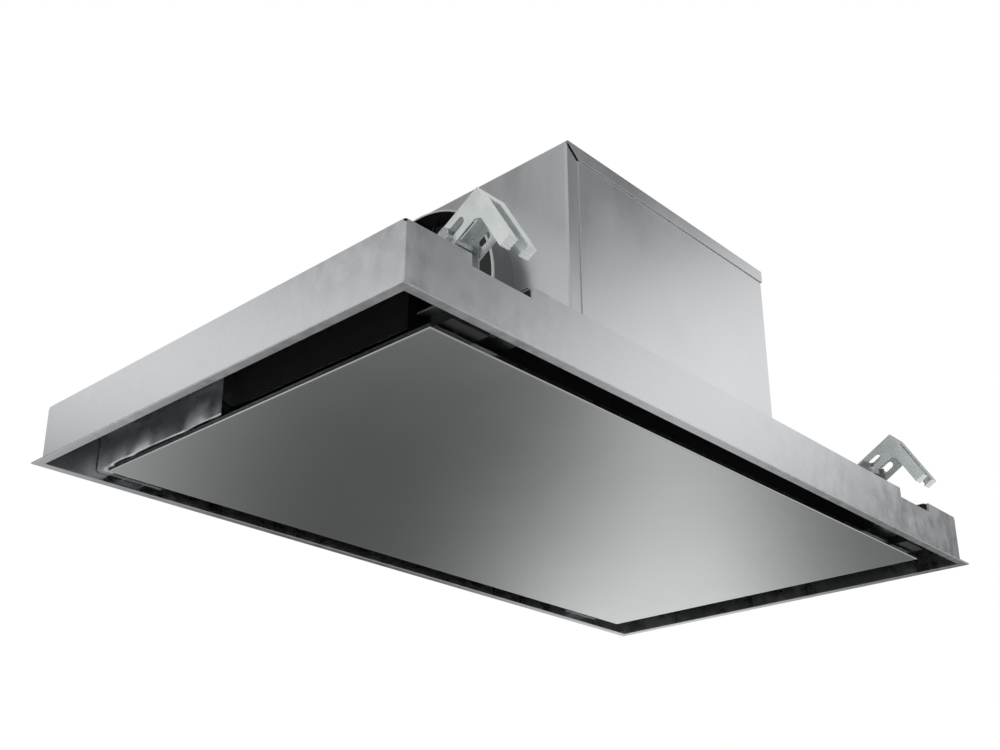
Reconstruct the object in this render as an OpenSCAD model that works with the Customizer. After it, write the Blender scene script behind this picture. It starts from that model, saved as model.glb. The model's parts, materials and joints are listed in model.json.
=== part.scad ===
// Recessed ceiling range hood with perimeter extraction.
// Folded frame with a trim flange, hinged cover panel, grease filters, blower box and ceiling clamps.
// Origin: middle of the flange's lower face. X runs left to right, Y front to back, Z up. Millimetres.

/* [Frame] */
// Length of the trim flange, left to right
flange_l = 900; // [800:1:1200]
// Depth of the trim flange, front to back
flange_d = 500; // [470:1:700]
// Thickness of the trim flange
flange_t = 1.5; // [1:0.1:3]
// Width of the trim flange outside the frame wall
flange_band = 6.7; // [4:0.1:20]
// Thickness of the frame wall, a doubled sheet
wall_t = 2.3; // [1:0.1:4]
// Height of the frame over the flange's lower face
frame_h = 57.3; // [50:0.1:120]
// Width of the lip on top of the frame wall, from the wall's outer face
lip_w = 22; // [12:0.5:24]
// Thickness of the lip
lip_t = 1.2; // [0.8:0.1:2]
// Size of the small cuts at the wall's upper corners
corner_cut = 2.5; // [1:0.1:5]

/* [Clamp notches] */
// Distance from the flange's end to a clamp notch
notch_in = 75; // [60:1:150]
// Length of a clamp notch
notch_w = 68.4; // [45:0.1:80]
// Depth of a clamp notch below the frame's top
notch_h = 10.5; // [4:0.1:20]

/* [Cover panel] */
// Gap between the flange's end and the cover panel's end
panel_gap_x = 59.85; // [30:0.05:90]
// Gap between the flange's edge and the cover panel's long edge
panel_gap_y = 34.6; // [30:0.05:60]
// Thickness of the cover panel
panel_t = 4.3; // [3:0.1:8]
// Sheet thickness of the cover panel's folded steel skin
panel_sheet = 1; // [0.6:0.1:1.5]
// Distance from the cover panel's edge to its backing tray
tray_in = 20; // [19:0.5:40]
// Height of the backing tray
tray_h = 7.7; // [5:0.1:9]
// Sheet thickness of the backing tray
tray_t = 1; // [0.6:0.1:2]

/* [Panel hinges] */
// Distance of each hinge from the cover panel's end
hinge_x = 45.15; // [45:0.05:190]
// Distance of the hinge axis from the flange's rear edge
hinge_in = 28; // [26:0.5:34]
// Height of the hinge axis
hinge_z = 14; // [13:0.1:18]
// Radius of the hinge pin
hinge_pin_r = 2; // [1.5:0.1:3]
// Radius of the hinge barrel
hinge_barrel_r = 4; // [3.5:0.1:5]
// Width of the hinge arm
hinge_arm_w = 20; // [12:1:40]
// Thickness of the hinge bracket's sheet
hinge_sheet = 2; // [1:0.1:3]
// Length of the hinge bracket along the frame
hinge_bracket_l = 60; // [50:1:90]
// Height of the hinge bracket's upper plate
hinge_bracket_z = 31; // [28:0.5:45]

/* [Panel catches] */
// Distance of each catch from the cover panel's end
catch_x = 30.15; // [30:0.05:190]
// Length of the catch body
catch_l = 40; // [20:1:60]
// Depth of the catch body
catch_d = 22; // [18:1:24]
// Height of the catch body
catch_h = 9; // [7:0.1:12]
// Height of the catch body over the cover panel
catch_gap = 2.7; // [2:0.1:4]
// Length of the catch bracket along the frame
catch_plate_l = 90; // [60:1:120]
// Depth of the catch bracket
catch_plate_d = 40; // [36:1:50]
// Height of the catch bracket's upright leg
catch_plate_h = 20; // [12:1:24]
// Distance of the catch bracket's middle from the catch, inwards
catch_plate_shift = 15; // [0:1:20]
// Sheet thickness of the catch bracket
catch_sheet = 1.5; // [1:0.1:3]
// Radius of the catch plunger
plunger_r = 3; // [2:0.1:4]
// Radius of the plunger's head
plunger_head_r = 4.5; // [3.5:0.1:6]
// Thickness of the strike plate
strike_t = 0.8; // [0.5:0.1:1.5]

/* [Air pan] */
// Gap between the frame wall's outer face and the pan's edge
pan_edge = 5; // [3:0.5:10]
// Sheet thickness of the pan
pan_t = 1.2; // [0.8:0.1:2]
// Distance between the rivets that hold the pan
rivet_pitch = 100; // [50:1:110]
// Distance of the rivets from the lip's edge
rivet_edge = 8; // [6:0.5:10]
// Distance from the flange's end to the filter housing
skirt_in = 75; // [70:1:110]
// Distance that the filter housing stands out past the blower box, front and back
skirt_past = 5; // [5:0.5:20]
// Height of the filter housing's lower edge
skirt_z = 20; // [18:0.5:24]
// Sheet thickness of the filter housing
skirt_t = 1; // [0.8:0.1:2]
// Width of the ledge that the filters lie against
ledge_w = 8; // [5:0.5:14]

/* [Grease filters] */
// Thickness of a grease filter
filter_h = 9; // [8:0.5:12]
// Width of a filter's border
filter_border = 14; // [13:0.5:20]
// Clearance round a filter
filter_play = 1; // [0.5:0.1:2]
// Thickness of the filter mesh
mesh_t = 5; // [2:0.5:8]
// Travel of the filter catch
filter_catch_travel = 4; // [3:0.5:5]
// Width of the filter catch's tongue
tongue_w = 30; // [16:1:40]
// Thickness of the filter catch's tongue
tongue_t = 2.6; // [2:0.1:3]

/* [Blower box] */
// Side of the square blower box
box_w = 340; // [320:1:380]
// Height of the whole hood
total_h = 299; // [290:1:400]
// Sheet thickness of the blower box
box_t = 1; // [0.8:0.1:2]
// Distance of the box's screws from its sides
screw_in = 9; // [8:0.5:12]
// Height of the lid's skirt
lid_skirt = 13.5; // [10:0.5:25]
// Sheet thickness of the lid
lid_t = 1.2; // [0.8:0.1:2]
// Width of the border strip left of the front cover
border_w = 17; // [10:0.5:30]
// Thickness of the front cover plate
cover_t = 1; // [0.6:0.1:2]

/* [Air outlet] */
// Outer radius of the outlet collar
collar_r = 102; // [90:0.5:104]
// Length of the outlet collar outside the box
collar_l = 29; // [20:1:60]
// Wall thickness of the outlet collar
collar_t = 2.5; // [1.5:0.1:4]
// Height of the collar's centre over the air pan
collar_z = 113.5; // [110:0.5:117]
// Thickness of a damper flap
flap_t = 1.2; // [0.8:0.1:2]
// Radius of the damper pin
flap_pin_r = 1.5; // [1:0.1:2.5]

/* [Fan] */
// Sideways position of the fan's centre
fan_x = 15; // [0:1:20]
// Front to back position of the fan's centre
fan_y = -35; // [-40:1:-30]
// Radius of the fan wheel
wheel_r = 92; // [70:1:94]
// Height of the fan wheel's blades
wheel_h = 100; // [60:1:110]
// Radius of the air inlet under the fan
inlet_r = 80; // [60:1:82]
// Height of the fan housing
scroll_h = 190; // [180:1:195]
// Wall thickness of the fan housing
scroll_t = 2.5; // [1.5:0.1:4]
// Radius of the fan housing where the spiral ends
scroll_r = 133; // [125:1:133]
// Growth of the spiral over each quarter turn
scroll_step = 9; // [5:0.5:10]
// Radius of the motor's body
motor_r = 50; // [35:0.5:55]
// Height of the motor's body
motor_h = 68; // [50:1:70]
// Radius of the motor shaft
shaft_r = 6; // [4:0.5:8]
// Number of fan blades
blade_count = 36; // [24:1:48]

/* [Ceiling clamps] */
// Width of a clamp, left to right
clamp_w = 31.7; // [26:0.1:40]
// Sheet thickness of a clamp
clamp_t = 1.5; // [1:0.1:2.5]
// Length of the clamp's slotted leg
clamp_leg = 58; // [56:1:70]
// Width of the clamp's slotted leg
clamp_leg_w = 23; // [20:0.5:30]
// Length of the clamp's prong
clamp_prong = 66; // [55:1:70]
// Width of the clamp's prong
clamp_prong_w = 11.5; // [9:0.5:14]
// Slope of the clamp's leg below the horizontal
clamp_tilt = 30.5; // [25:0.5:35]
// Distance of the clamp's peak from the flange's long edge
clamp_peak_y = 19.5; // [17:0.5:24]
// Height of the clamp's peak over the flange
clamp_peak_z = 130.5; // [125:0.5:140]
// Radius of the clamp bolt
bolt_r = 4; // [3:0.1:4.5]
// Travel of the clamp along its slots
clamp_travel = 20; // [15:1:22]
// Thickness of the clamp post's sheet
post_t = 2; // [1.5:0.1:3]

/* [Hidden] */
$fn = 64;
hair = 0.05;
fit = 0.2;
wall_l = flange_l - 2 * flange_band;
wall_d = flange_d - 2 * flange_band;
open_l = wall_l - 2 * wall_t;
open_d = wall_d - 2 * wall_t;
panel_l = flange_l - 2 * panel_gap_x;
panel_d = flange_d - 2 * panel_gap_y;
tray_l = panel_l - 2 * tray_in;
tray_d = panel_d - 2 * tray_in;
tray_top = panel_t + tray_h;
hinge_y = flange_d / 2 - hinge_in;
hinge_at = panel_l / 2 - hinge_x;
hinge_side = hinge_arm_w / 2 + 0.3;
hinge_end = 1.5;
catch_at = panel_l / 2 - catch_x;
catch_z = panel_t + catch_gap;
catch_plate_z = catch_z + catch_h;
catch_y = -panel_d / 2 - 1.6;
plunger_y = -panel_d / 2 + 5.4;
strike_top = panel_t + strike_t;
plunger_seat = catch_z + 5;
plunger_head_h = 1.5;
pan_z = frame_h;
pan_l = wall_l - 2 * pan_edge;
pan_d = wall_d - 2 * pan_edge;
pan_top = pan_z + pan_t;
pan_notch = 30;
skirt_l = flange_l - 2 * skirt_in;
skirt_d = box_w + 2 * skirt_past;
filter_z = skirt_z + 0.5;
ledge_z = filter_z + filter_h;
filter_l = (skirt_l - 2 * skirt_t) / 2 - 1.5 * filter_play;
filter_d = skirt_d - 2 * skirt_t - 2 * filter_play;
filter_x = filter_l / 2 + filter_play / 2;
tongue_z = filter_z + 2.2;
tongue_reach = 3.5;
tongue_l = 8;
tab_w = 20;
tab_t = 1.5;
control_t = 13;
control_l = 167;
control_y = 43;
control_z0 = panel_t + 2.5;
board_in = 12;
board_gap = 3;
board_t = 1.6;
board_low = 4;
board_high = 8;
board_stud = 3;
box_z = pan_top;
lid_out = 2.4;
lid_head_r = 3.3;
lid_z = total_h - lid_skirt;
shell_top = total_h - lid_t;
flange_in = 18;
collar_x = -box_w / 2;
collar_mid = pan_top + collar_z;
collar_flange = 10;
collar_neck = collar_r - 0.6;
flap_x = collar_x - 8;
flap_r = collar_r - collar_t - 1.5;
flap_barrel_r = flap_pin_r + 1.3;
scroll_z = box_z + box_t;
scroll_top = scroll_z + scroll_h;
wheel_z = scroll_z + 20;
plate_t = 2;
wheel_top = wheel_z + wheel_h;
hub_r = 14;
hub_top = wheel_top + 8;
motor_z = hub_top + 4;
motor_top = motor_z + motor_h;
bush_h = 6;
bush_r = 8;
bush_at = 75;
bracket_t = 3;
bracket_z = scroll_top + bush_h;
motor_flange_r = motor_r + 8;
motor_seat = bracket_z + bracket_t;
clamp_x = flange_l / 2 - notch_in - notch_w / 2;
clamp_y = flange_d / 2 - clamp_peak_y;
pan_end_x = clamp_x - notch_w / 2;
slot_r = bolt_r + 0.1;
slot_mid = clamp_leg_w / 2;
bolt_at = 44;
slot_out = bolt_at - clamp_travel + 4;
slot_in = bolt_at + 4;
ret_leg = 11;
ret_prong = 9;
bridge = 14;
bridge_drop = 8;
pad_l = 10;
bolt_y = clamp_y - bolt_at * cos(clamp_tilt) + slot_mid * sin(clamp_tilt);
bolt_z = clamp_peak_z - bolt_at * sin(clamp_tilt) - slot_mid * cos(clamp_tilt);
post_w = clamp_w - 2 * clamp_t - 1;
post_d = 14;
post_over = 5;
post_h = bolt_z - pan_top + post_over;
gland_x = 60;
gland_z = 100;
gland_r = 8;
cap_r = 17;
cap_h = 60;
cap_y = 135;

// A box between two corners
module block(a, b) {
    translate(a)
        cube(b - a);
}

// A flat ring: an outer rectangle less an inner one, between two heights
module ring(lo, do, li, di, z0, z1) {
    difference() {
        block([-lo / 2, -do / 2, z0], [lo / 2, do / 2, z1]);
        block([-li / 2, -di / 2, z0 - 1], [li / 2, di / 2, z1 + 1]);
    }
}

// Puts a piece at each of the four clamp places, modelled for the left front one
module four_clamps() {
    for (mx = [0, 1])
        for (my = [0, 1])
            mirror([mx, 0, 0])
                mirror([0, my, 0])
                    children();
}

// A screw with a domed head, standing on z = 0 with its shank below
module screw(r, length, head_r, head_h) {
    translate([0, 0, -length])
        cylinder(r = r, h = length);
    difference() {
        union() {
            cylinder(r = head_r, h = head_h * 0.6);
            translate([0, 0, head_h * 0.6])
                cylinder(r1 = head_r, r2 = head_r * 0.6, h = head_h * 0.4);
        }
        translate([-head_r * 0.5, -0.4, head_h * 0.5])
            cube([head_r, 0.8, head_h]);
        translate([-0.4, -head_r * 0.5, head_h * 0.5])
            cube([0.8, head_r, head_h]);
    }
}

// Places of the rivets between the frame's lip and the air pan
rivet_x = [for (i = [-3:3]) i * rivet_pitch];
rivet_in = flange_d / 2 - flange_band - lip_w + rivet_edge;
rivet_end = flange_l / 2 - flange_band - lip_w + rivet_edge;
rivet_y = [for (i = [-1.5:1.5]) i * rivet_pitch];

module at_rivets() {
    for (x = rivet_x)
        for (s = [-1, 1])
            translate([x, s * rivet_in, 0])
                children();
    for (y = rivet_y)
        for (s = [-1, 1])
            translate([s * rivet_end, y, 0])
                children();
}

// The whole folded frame, before it is cut into its four mitred sides
module folded_frame() {
    difference() {
        union() {
            ring(flange_l, flange_d, open_l, open_d, 0, flange_t);
            ring(wall_l, wall_d, open_l, open_d, 0, frame_h);
            ring(wall_l, wall_d, wall_l - 2 * lip_w, wall_d - 2 * lip_w, frame_h - lip_t, frame_h);
        }
        four_clamps()
            block([-clamp_x - notch_w / 2, -flange_d / 2, frame_h - notch_h],
                  [-clamp_x + notch_w / 2, -flange_d / 2 + flange_band + lip_w + 1, frame_h + 1]);
        for (sx = [-1, 1])
            for (sy = [-1, 1])
                translate([sx * wall_l / 2, sy * wall_d / 2, frame_h])
                    rotate([0, 0, 45])
                        cube([corner_cut, corner_cut, 2 * corner_cut], center = true);
        at_rivets()
            translate([0, 0, frame_h - lip_t - 1])
                cylinder(r = 2.05, h = lip_t + 2);
    }
}

// One long side of the frame, mitred at 45 degrees at both ends
module frame_long(side) {
    m = 60;
    color([0.72, 0.73, 0.74])
        intersection() {
            folded_frame();
            mirror([0, side > 0 ? 1 : 0, 0])
                translate([0, 0, -1])
                    linear_extrude(frame_h + 2)
                        polygon([[-flange_l / 2, -flange_d / 2], [flange_l / 2, -flange_d / 2],
                                 [flange_l / 2 - m, -flange_d / 2 + m],
                                 [-flange_l / 2 + m, -flange_d / 2 + m]]);
        }
}

// One short side of the frame, mitred to the long ones
module frame_short(side) {
    m = 60;
    color([0.72, 0.73, 0.74])
        intersection() {
            folded_frame();
            mirror([side > 0 ? 1 : 0, 0, 0])
                translate([0, 0, -1])
                    linear_extrude(frame_h + 2)
                        polygon([[-flange_l / 2, -flange_d / 2], [-flange_l / 2 + m, -flange_d / 2 + m],
                                 [-flange_l / 2 + m, flange_d / 2 - m], [-flange_l / 2, flange_d / 2]]);
        }
}

module frame_front() {
    frame_long(-1);
}

module frame_rear() {
    frame_long(1);
}

module frame_left() {
    frame_short(-1);
}

module frame_right() {
    frame_short(1);
}

// The whole air pan, before it is cut into its middle sheet and two end sheets
module whole_pan() {
    difference() {
        block([-pan_l / 2, -pan_d / 2, pan_z], [pan_l / 2, pan_d / 2, pan_top]);
        four_clamps()
            block([-clamp_x - notch_w / 2, -flange_d / 2, pan_z - 1],
                  [-pan_end_x + hair, -flange_d / 2 + pan_notch, pan_top + 1]);
        translate([fan_x, fan_y, pan_z - 1])
            cylinder(r = inlet_r + 6, h = pan_t + 2);
        at_rivets()
            translate([0, 0, pan_z - 1])
                cylinder(r = 2.05, h = pan_t + 2);
        at_box_screws()
            translate([0, 0, pan_z - 1])
                cylinder(r = 2.05, h = pan_t + 2);
        four_clamps()
            at_post_rivets()
                translate([0, 0, pan_z - 1])
                    cylinder(r = 2.05, h = pan_t + 2);
    }
}

// Middle sheet of the air pan, which carries the blower box
module air_pan() {
    color([0.66, 0.68, 0.69])
        intersection() {
            whole_pan();
            block([-pan_end_x, -flange_d / 2, pan_z - 1], [pan_end_x, flange_d / 2, pan_top + 1]);
        }
}

// End sheet of the air pan, which carries two clamp posts
module pan_end(side) {
    color([0.66, 0.68, 0.69])
        intersection() {
            whole_pan();
            mirror([side > 0 ? 1 : 0, 0, 0])
                block([-flange_l / 2, -flange_d / 2, pan_z - 1], [-pan_end_x, flange_d / 2, pan_top + 1]);
        }
}

module pan_end_l() {
    pan_end(-1);
}

module pan_end_r() {
    pan_end(1);
}

// Housing under the air pan, with the filters' ledge and slots for their catches and tabs
module filter_housing() {
    color([0.10, 0.10, 0.11])
        difference() {
            union() {
                ring(skirt_l, skirt_d, skirt_l - 2 * skirt_t, skirt_d - 2 * skirt_t, skirt_z, pan_z);
                ring(skirt_l, skirt_d, skirt_l - 2 * (skirt_t + ledge_w),
                     skirt_d - 2 * (skirt_t + ledge_w), ledge_z, ledge_z + skirt_t);
                block([-ledge_w, -skirt_d / 2 + skirt_t, ledge_z],
                      [ledge_w, skirt_d / 2 - skirt_t, ledge_z + skirt_t]);
            }
            for (s = [-1, 1]) {
                block([s * filter_x - tongue_w / 2 - 0.4, -skirt_d / 2 - 1, tongue_z - 0.3],
                      [s * filter_x + tongue_w / 2 + 0.4, -skirt_d / 2 + skirt_t + 1,
                       tongue_z + tongue_t + 0.3]);
                for (t = [-1, 1])
                    translate([s * filter_x + t * filter_l / 4, skirt_d / 2, tongue_z])
                        block([-tab_w / 2 - 0.5, -skirt_t - 1, -0.3], [tab_w / 2 + 0.5, 1, tab_t + 0.3]);
            }
        }
}

module pan_rivets() {
    color([0.75, 0.76, 0.78])
        at_rivets()
            translate([0, 0, pan_top])
                screw(2, pan_t + lip_t + 0.4, 3.6, 1.4);
}

// Stainless skin of the cover panel, folded up all round
module cover_panel() {
    color([0.66, 0.67, 0.67])
        difference() {
            block([-panel_l / 2, -panel_d / 2, 0], [panel_l / 2, panel_d / 2, panel_t]);
            block([-panel_l / 2 + panel_sheet, -panel_d / 2 + panel_sheet, panel_sheet],
                  [panel_l / 2 - panel_sheet, panel_d / 2 - panel_sheet, panel_t + 1]);
        }
}

// Stiffening board glued into the folded skin
module panel_core() {
    color([0.20, 0.20, 0.21])
        block([-panel_l / 2 + panel_sheet + hair, -panel_d / 2 + panel_sheet + hair, panel_sheet],
              [panel_l / 2 - panel_sheet - hair, panel_d / 2 - panel_sheet - hair, panel_t]);
}

module panel_tray() {
    color([0.10, 0.10, 0.11]) {
        difference() {
            block([-tray_l / 2, -tray_d / 2, panel_t], [tray_l / 2, tray_d / 2, tray_top]);
            block([-tray_l / 2 + tray_t, -tray_d / 2 + tray_t, panel_t + tray_t],
                  [tray_l / 2 - tray_t, tray_d / 2 - tray_t, tray_top + 1]);
        }
    }
}

// Hinge arm fixed in the backing tray, with the barrel round the hinge pin
module hinge_arm(side) {
    color([0.62, 0.64, 0.66])
        translate([side * hinge_at, 0, 0])
            difference() {
                union() {
                    block([-hinge_arm_w / 2, tray_d / 2 - 26, panel_t + tray_t],
                          [hinge_arm_w / 2, tray_d / 2 - 12, tray_top + 3]);
                    block([-hinge_arm_w / 2, tray_d / 2 - 26, tray_top],
                          [hinge_arm_w / 2, hinge_y, tray_top + 3]);
                    translate([0, hinge_y, hinge_z])
                        rotate([0, 90, 0])
                            cylinder(r = hinge_barrel_r, h = hinge_arm_w, center = true);
                }
                translate([0, hinge_y, hinge_z])
                    rotate([0, 90, 0])
                        cylinder(r = hinge_pin_r + hair, h = hinge_arm_w + 2, center = true);
            }
}

module hinge_arms() {
    hinge_arm(-1);
    hinge_arm(1);
}

// Hinge bracket on the frame's rear wall
module hinge_bracket(side) {
    y_wall = open_d / 2;
    color([0.70, 0.71, 0.73])
        translate([side * hinge_at, 0, 0])
            difference() {
                union() {
                    block([-hinge_bracket_l / 2, y_wall - hinge_sheet, hinge_z - 5],
                          [hinge_bracket_l / 2, y_wall, hinge_bracket_z]);
                    block([-hinge_bracket_l / 2, hinge_y - 5, hinge_bracket_z - hinge_sheet],
                          [hinge_bracket_l / 2, y_wall, hinge_bracket_z]);
                    for (s = [-1, 1])
                        translate([s * (hinge_side + hinge_sheet / 2), 0, 0])
                            block([-hinge_sheet / 2, hinge_y - 5, hinge_z - 5],
                                  [hinge_sheet / 2, y_wall, hinge_bracket_z]);
                }
                translate([0, hinge_y, hinge_z])
                    rotate([0, 90, 0])
                        cylinder(r = hinge_pin_r + hair, h = hinge_bracket_l, center = true);
            }
}

module hinge_bracket_l() {
    hinge_bracket(-1);
}

module hinge_bracket_r() {
    hinge_bracket(1);
}

module hinge_pins() {
    color([0.80, 0.81, 0.83])
        for (s = [-1, 1])
            translate([s * hinge_at, hinge_y, hinge_z])
                rotate([0, 90, 0]) {
                    cylinder(r = hinge_pin_r, h = 2 * (hinge_side + hinge_sheet + hinge_end), center = true);
                    translate([0, 0, hinge_side + hinge_sheet])
                        cylinder(r = hinge_pin_r + 1.2, h = hinge_end);
                }
}

// Catch bracket, an angle on the frame's front wall
module catch_bracket(side) {
    y_wall = -open_d / 2;
    x_mid = side * (catch_at - catch_plate_shift);
    color([0.58, 0.60, 0.61])
        difference() {
            union() {
                block([x_mid - catch_plate_l / 2, y_wall, catch_plate_z],
                      [x_mid + catch_plate_l / 2, y_wall + catch_plate_d, catch_plate_z + catch_sheet]);
                block([x_mid - catch_plate_l / 2, y_wall, catch_plate_z],
                      [x_mid + catch_plate_l / 2, y_wall + catch_sheet, catch_plate_z + catch_plate_h]);
            }
            translate([side * catch_at, plunger_y, catch_plate_z - 1])
                cylinder(r = plunger_head_r + 0.3, h = catch_sheet + 2);
        }
}

module catch_bracket_l() {
    catch_bracket(-1);
}

module catch_bracket_r() {
    catch_bracket(1);
}

module catch_body(side) {
    color([0.05, 0.05, 0.05])
        difference() {
            block([side * catch_at - catch_l / 2, catch_y - catch_d / 2, catch_z],
                  [side * catch_at + catch_l / 2, catch_y + catch_d / 2, catch_plate_z]);
            translate([side * catch_at, plunger_y, catch_z - 1])
                cylinder(r = plunger_r + hair, h = catch_h + 2);
            translate([side * catch_at, plunger_y, plunger_seat])
                cylinder(r = plunger_head_r + hair, h = catch_h);
        }
}

module catch_body_l() {
    catch_body(-1);
}

module catch_body_r() {
    catch_body(1);
}

module catch_plunger(side) {
    color([0.85, 0.85, 0.86])
        translate([side * catch_at, plunger_y, 0]) {
            translate([0, 0, strike_top])
                cylinder(r = plunger_r, h = plunger_seat - strike_top + 0.5);
            translate([0, 0, plunger_seat])
                cylinder(r = plunger_head_r, h = plunger_head_h);
        }
}

module catch_plunger_l() {
    catch_plunger(-1);
}

module catch_plunger_r() {
    catch_plunger(1);
}

module strike_plates() {
    color([0.80, 0.80, 0.82])
        for (s = [-1, 1])
            block([s * catch_at - 12, plunger_y - 4.5, panel_t],
                  [s * catch_at + 12, plunger_y + 6, strike_top]);
}

// Filter frame with a pocket for its catch and two tabs at the rear
module filter_frame(side) {
    color([0.74, 0.75, 0.77])
        translate([side * filter_x, 0, 0])
            difference() {
                union() {
                    ring(filter_l, filter_d, filter_l - 2 * filter_border, filter_d - 2 * filter_border,
                         filter_z, ledge_z);
                    for (t = [-1, 1])
                        block([t * filter_l / 4 - tab_w / 2, filter_d / 2 - 1, tongue_z],
                              [t * filter_l / 4 + tab_w / 2, filter_d / 2 + tongue_reach, tongue_z + tab_t]);
                }
                block([-tongue_w / 2 - fit, -filter_d / 2 - 1, tongue_z - fit],
                      [tongue_w / 2 + fit, -filter_d / 2 + tongue_l + filter_catch_travel - 1,
                       tongue_z + tongue_t + fit]);
                block([-6, -filter_d / 2 + 1, filter_z - 1],
                      [6, -filter_d / 2 + tongue_l + filter_catch_travel - 1, tongue_z + 1]);
            }
}

module filter_frame_l() {
    filter_frame(-1);
}

module filter_frame_r() {
    filter_frame(1);
}

// Filter mesh: an open lattice that fills the filter frame
module filter_mesh(side) {
    ml = filter_l - 2 * filter_border;
    md = filter_d - 2 * filter_border;
    nx = 14;
    ny = 8;
    rib = 2;
    px = (ml - rib) / nx;
    py = (md - rib) / ny;
    z0 = filter_z + (filter_h - mesh_t) / 2;
    color([0.60, 0.61, 0.63])
        translate([side * filter_x, 0, 0])
            difference() {
                block([-ml / 2, -md / 2, z0], [ml / 2, md / 2, z0 + mesh_t]);
                for (i = [0:nx - 1])
                    for (j = [0:ny - 1])
                        translate([-ml / 2 + rib + i * px, -md / 2 + rib + j * py, z0 - 1])
                            cube([px - rib, py - rib, mesh_t + 2]);
            }
}

module filter_mesh_l() {
    filter_mesh(-1);
}

module filter_mesh_r() {
    filter_mesh(1);
}

// Filter catch: tongue in the filter's frame and a finger grip below it
module filter_catch(side) {
    y0 = -filter_d / 2 - tongue_reach;
    color([0.08, 0.08, 0.09])
        translate([side * filter_x, 0, 0]) {
            block([-tongue_w / 2, y0, tongue_z],
                  [tongue_w / 2, -filter_d / 2 + tongue_l - 1, tongue_z + tongue_t]);
            block([-5.5, -filter_d / 2 + 1.5, filter_z - 2.5],
                  [5.5, -filter_d / 2 + tongue_l - 1, tongue_z + 0.5]);
            block([-20, -filter_d / 2 + 1.5, filter_z - 2.5],
                  [20, -filter_d / 2 + tongue_l - 1, filter_z - 0.3]);
        }
}

module filter_catch_l() {
    filter_catch(-1);
}

module filter_catch_r() {
    filter_catch(1);
}

// Metal cover of the control board, on the filter housing's left side
module control_cover() {
    x1 = -skirt_l / 2;
    x0 = x1 - control_t;
    color([0.70, 0.71, 0.72])
        difference() {
            block([x0, control_y, control_z0], [x1, control_y + control_l, pan_z]);
            block([x0 + 1, control_y + 1, control_z0 + 1], [x1 + 1, control_y + control_l - 1, pan_z - 1]);
        }
}

module control_board() {
    x1 = -skirt_l / 2;
    color([0.05, 0.30, 0.16]) {
        block([x1 - board_gap - board_t, control_y + board_in, skirt_z + board_low],
              [x1 - board_gap, control_y + control_l - board_in, pan_z - board_high]);
        for (s = [0.2, 0.8])
            translate([x1 - board_gap - 0.2, control_y + s * control_l, (skirt_z + pan_z) / 2])
                rotate([0, 90, 0])
                    cylinder(r = board_stud, h = board_gap + 0.2);
    }
}

// Places of the screws between the blower box and the air pan
module at_box_screws() {
    for (sx = [-1, 1])
        for (sy = [-1, 1])
            translate([sx * (box_w / 2 - screw_in), sy * (box_w / 2 - screw_in), 0])
                children();
}

module at_lid_screws() {
    for (s = [-1, 1])
        for (t = [-1, 0, 1]) {
            translate([t * box_w * 0.36, s * (box_w / 2 - screw_in), 0])
                children();
            if (t != 0)
                translate([s * (box_w / 2 - screw_in), t * box_w * 0.18, 0])
                    children();
        }
}

module box_walls() {
    difference() {
        union() {
            ring(box_w, box_w, box_w - 2 * box_t, box_w - 2 * box_t, scroll_z, shell_top);
            ring(box_w, box_w, box_w - 2 * flange_in, box_w - 2 * flange_in, shell_top - box_t, shell_top);
        }
        translate([collar_x - 1, 0, collar_mid])
            rotate([0, 90, 0])
                cylinder(r = collar_neck + hair, h = box_t + 2);
        translate([gland_x, box_w / 2 - box_t - 1, gland_z])
            rotate([-90, 0, 0])
                cylinder(r = gland_r + hair, h = box_t + 2);
        at_lid_screws()
            translate([0, 0, shell_top - box_t - 1])
                cylinder(r = 2.05, h = box_t + 2);
    }
}

module box_shell() {
    color([0.72, 0.73, 0.74])
        difference() {
            box_walls();
            block([-box_w / 2 - 1, -box_w, scroll_z - 1], [-box_w / 2 + box_t, box_w, shell_top - box_t]);
        }
}

// The box's left side, with the round hole for the outlet collar
module outlet_plate() {
    color([0.72, 0.73, 0.74])
        intersection() {
            box_walls();
            block([-box_w / 2 - 1, -box_w, scroll_z - 1], [-box_w / 2 + box_t, box_w, shell_top - box_t]);
        }
}

module box_floor() {
    color([0.66, 0.68, 0.69])
        difference() {
            block([-box_w / 2, -box_w / 2, box_z], [box_w / 2, box_w / 2, scroll_z]);
            translate([fan_x, fan_y, box_z - 1])
                cylinder(r = inlet_r, h = box_t + 2);
            at_box_screws()
                translate([0, 0, box_z - 1])
                    cylinder(r = 2.05, h = box_t + 2);
        }
}

module front_cover() {
    color([0.70, 0.71, 0.72])
        block([-box_w / 2 + border_w, -box_w / 2 - cover_t, box_z],
              [box_w / 2 + 1, -box_w / 2, lid_z - fit]);
}

// Clears the box's folded border at the left end of the lid's front skirt
module lid_mitre() {
    translate([0, -box_w / 2, 0])
        rotate([90, 0, 0])
            linear_extrude(lid_out + 1)
                polygon([[-box_w / 2, total_h], [-box_w / 2 + border_w, lid_z],
                         [-box_w / 2 + border_w, lid_z - 1], [-box_w / 2 - 1, lid_z - 1],
                         [-box_w / 2 - 1, total_h]]);
}

// Lid with skirts over the front, the rear and the right side, flush with the box's left side
module lid() {
    w = box_w + 2 * lid_out;
    color([0.74, 0.75, 0.76])
        difference() {
            block([-box_w / 2, -w / 2, lid_z], [w / 2, w / 2, total_h]);
            block([-box_w / 2 - 1, -w / 2 + lid_t, lid_z - 1],
                  [w / 2 - lid_t, w / 2 - lid_t, shell_top]);
            lid_mitre();
            mirror([0, 1, 0])
                lid_mitre();
            at_lid_screws()
                translate([0, 0, shell_top - 0.01])
                    cylinder(r1 = 2.05, r2 = lid_head_r + 0.15, h = lid_t + 0.02);
        }
}

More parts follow.
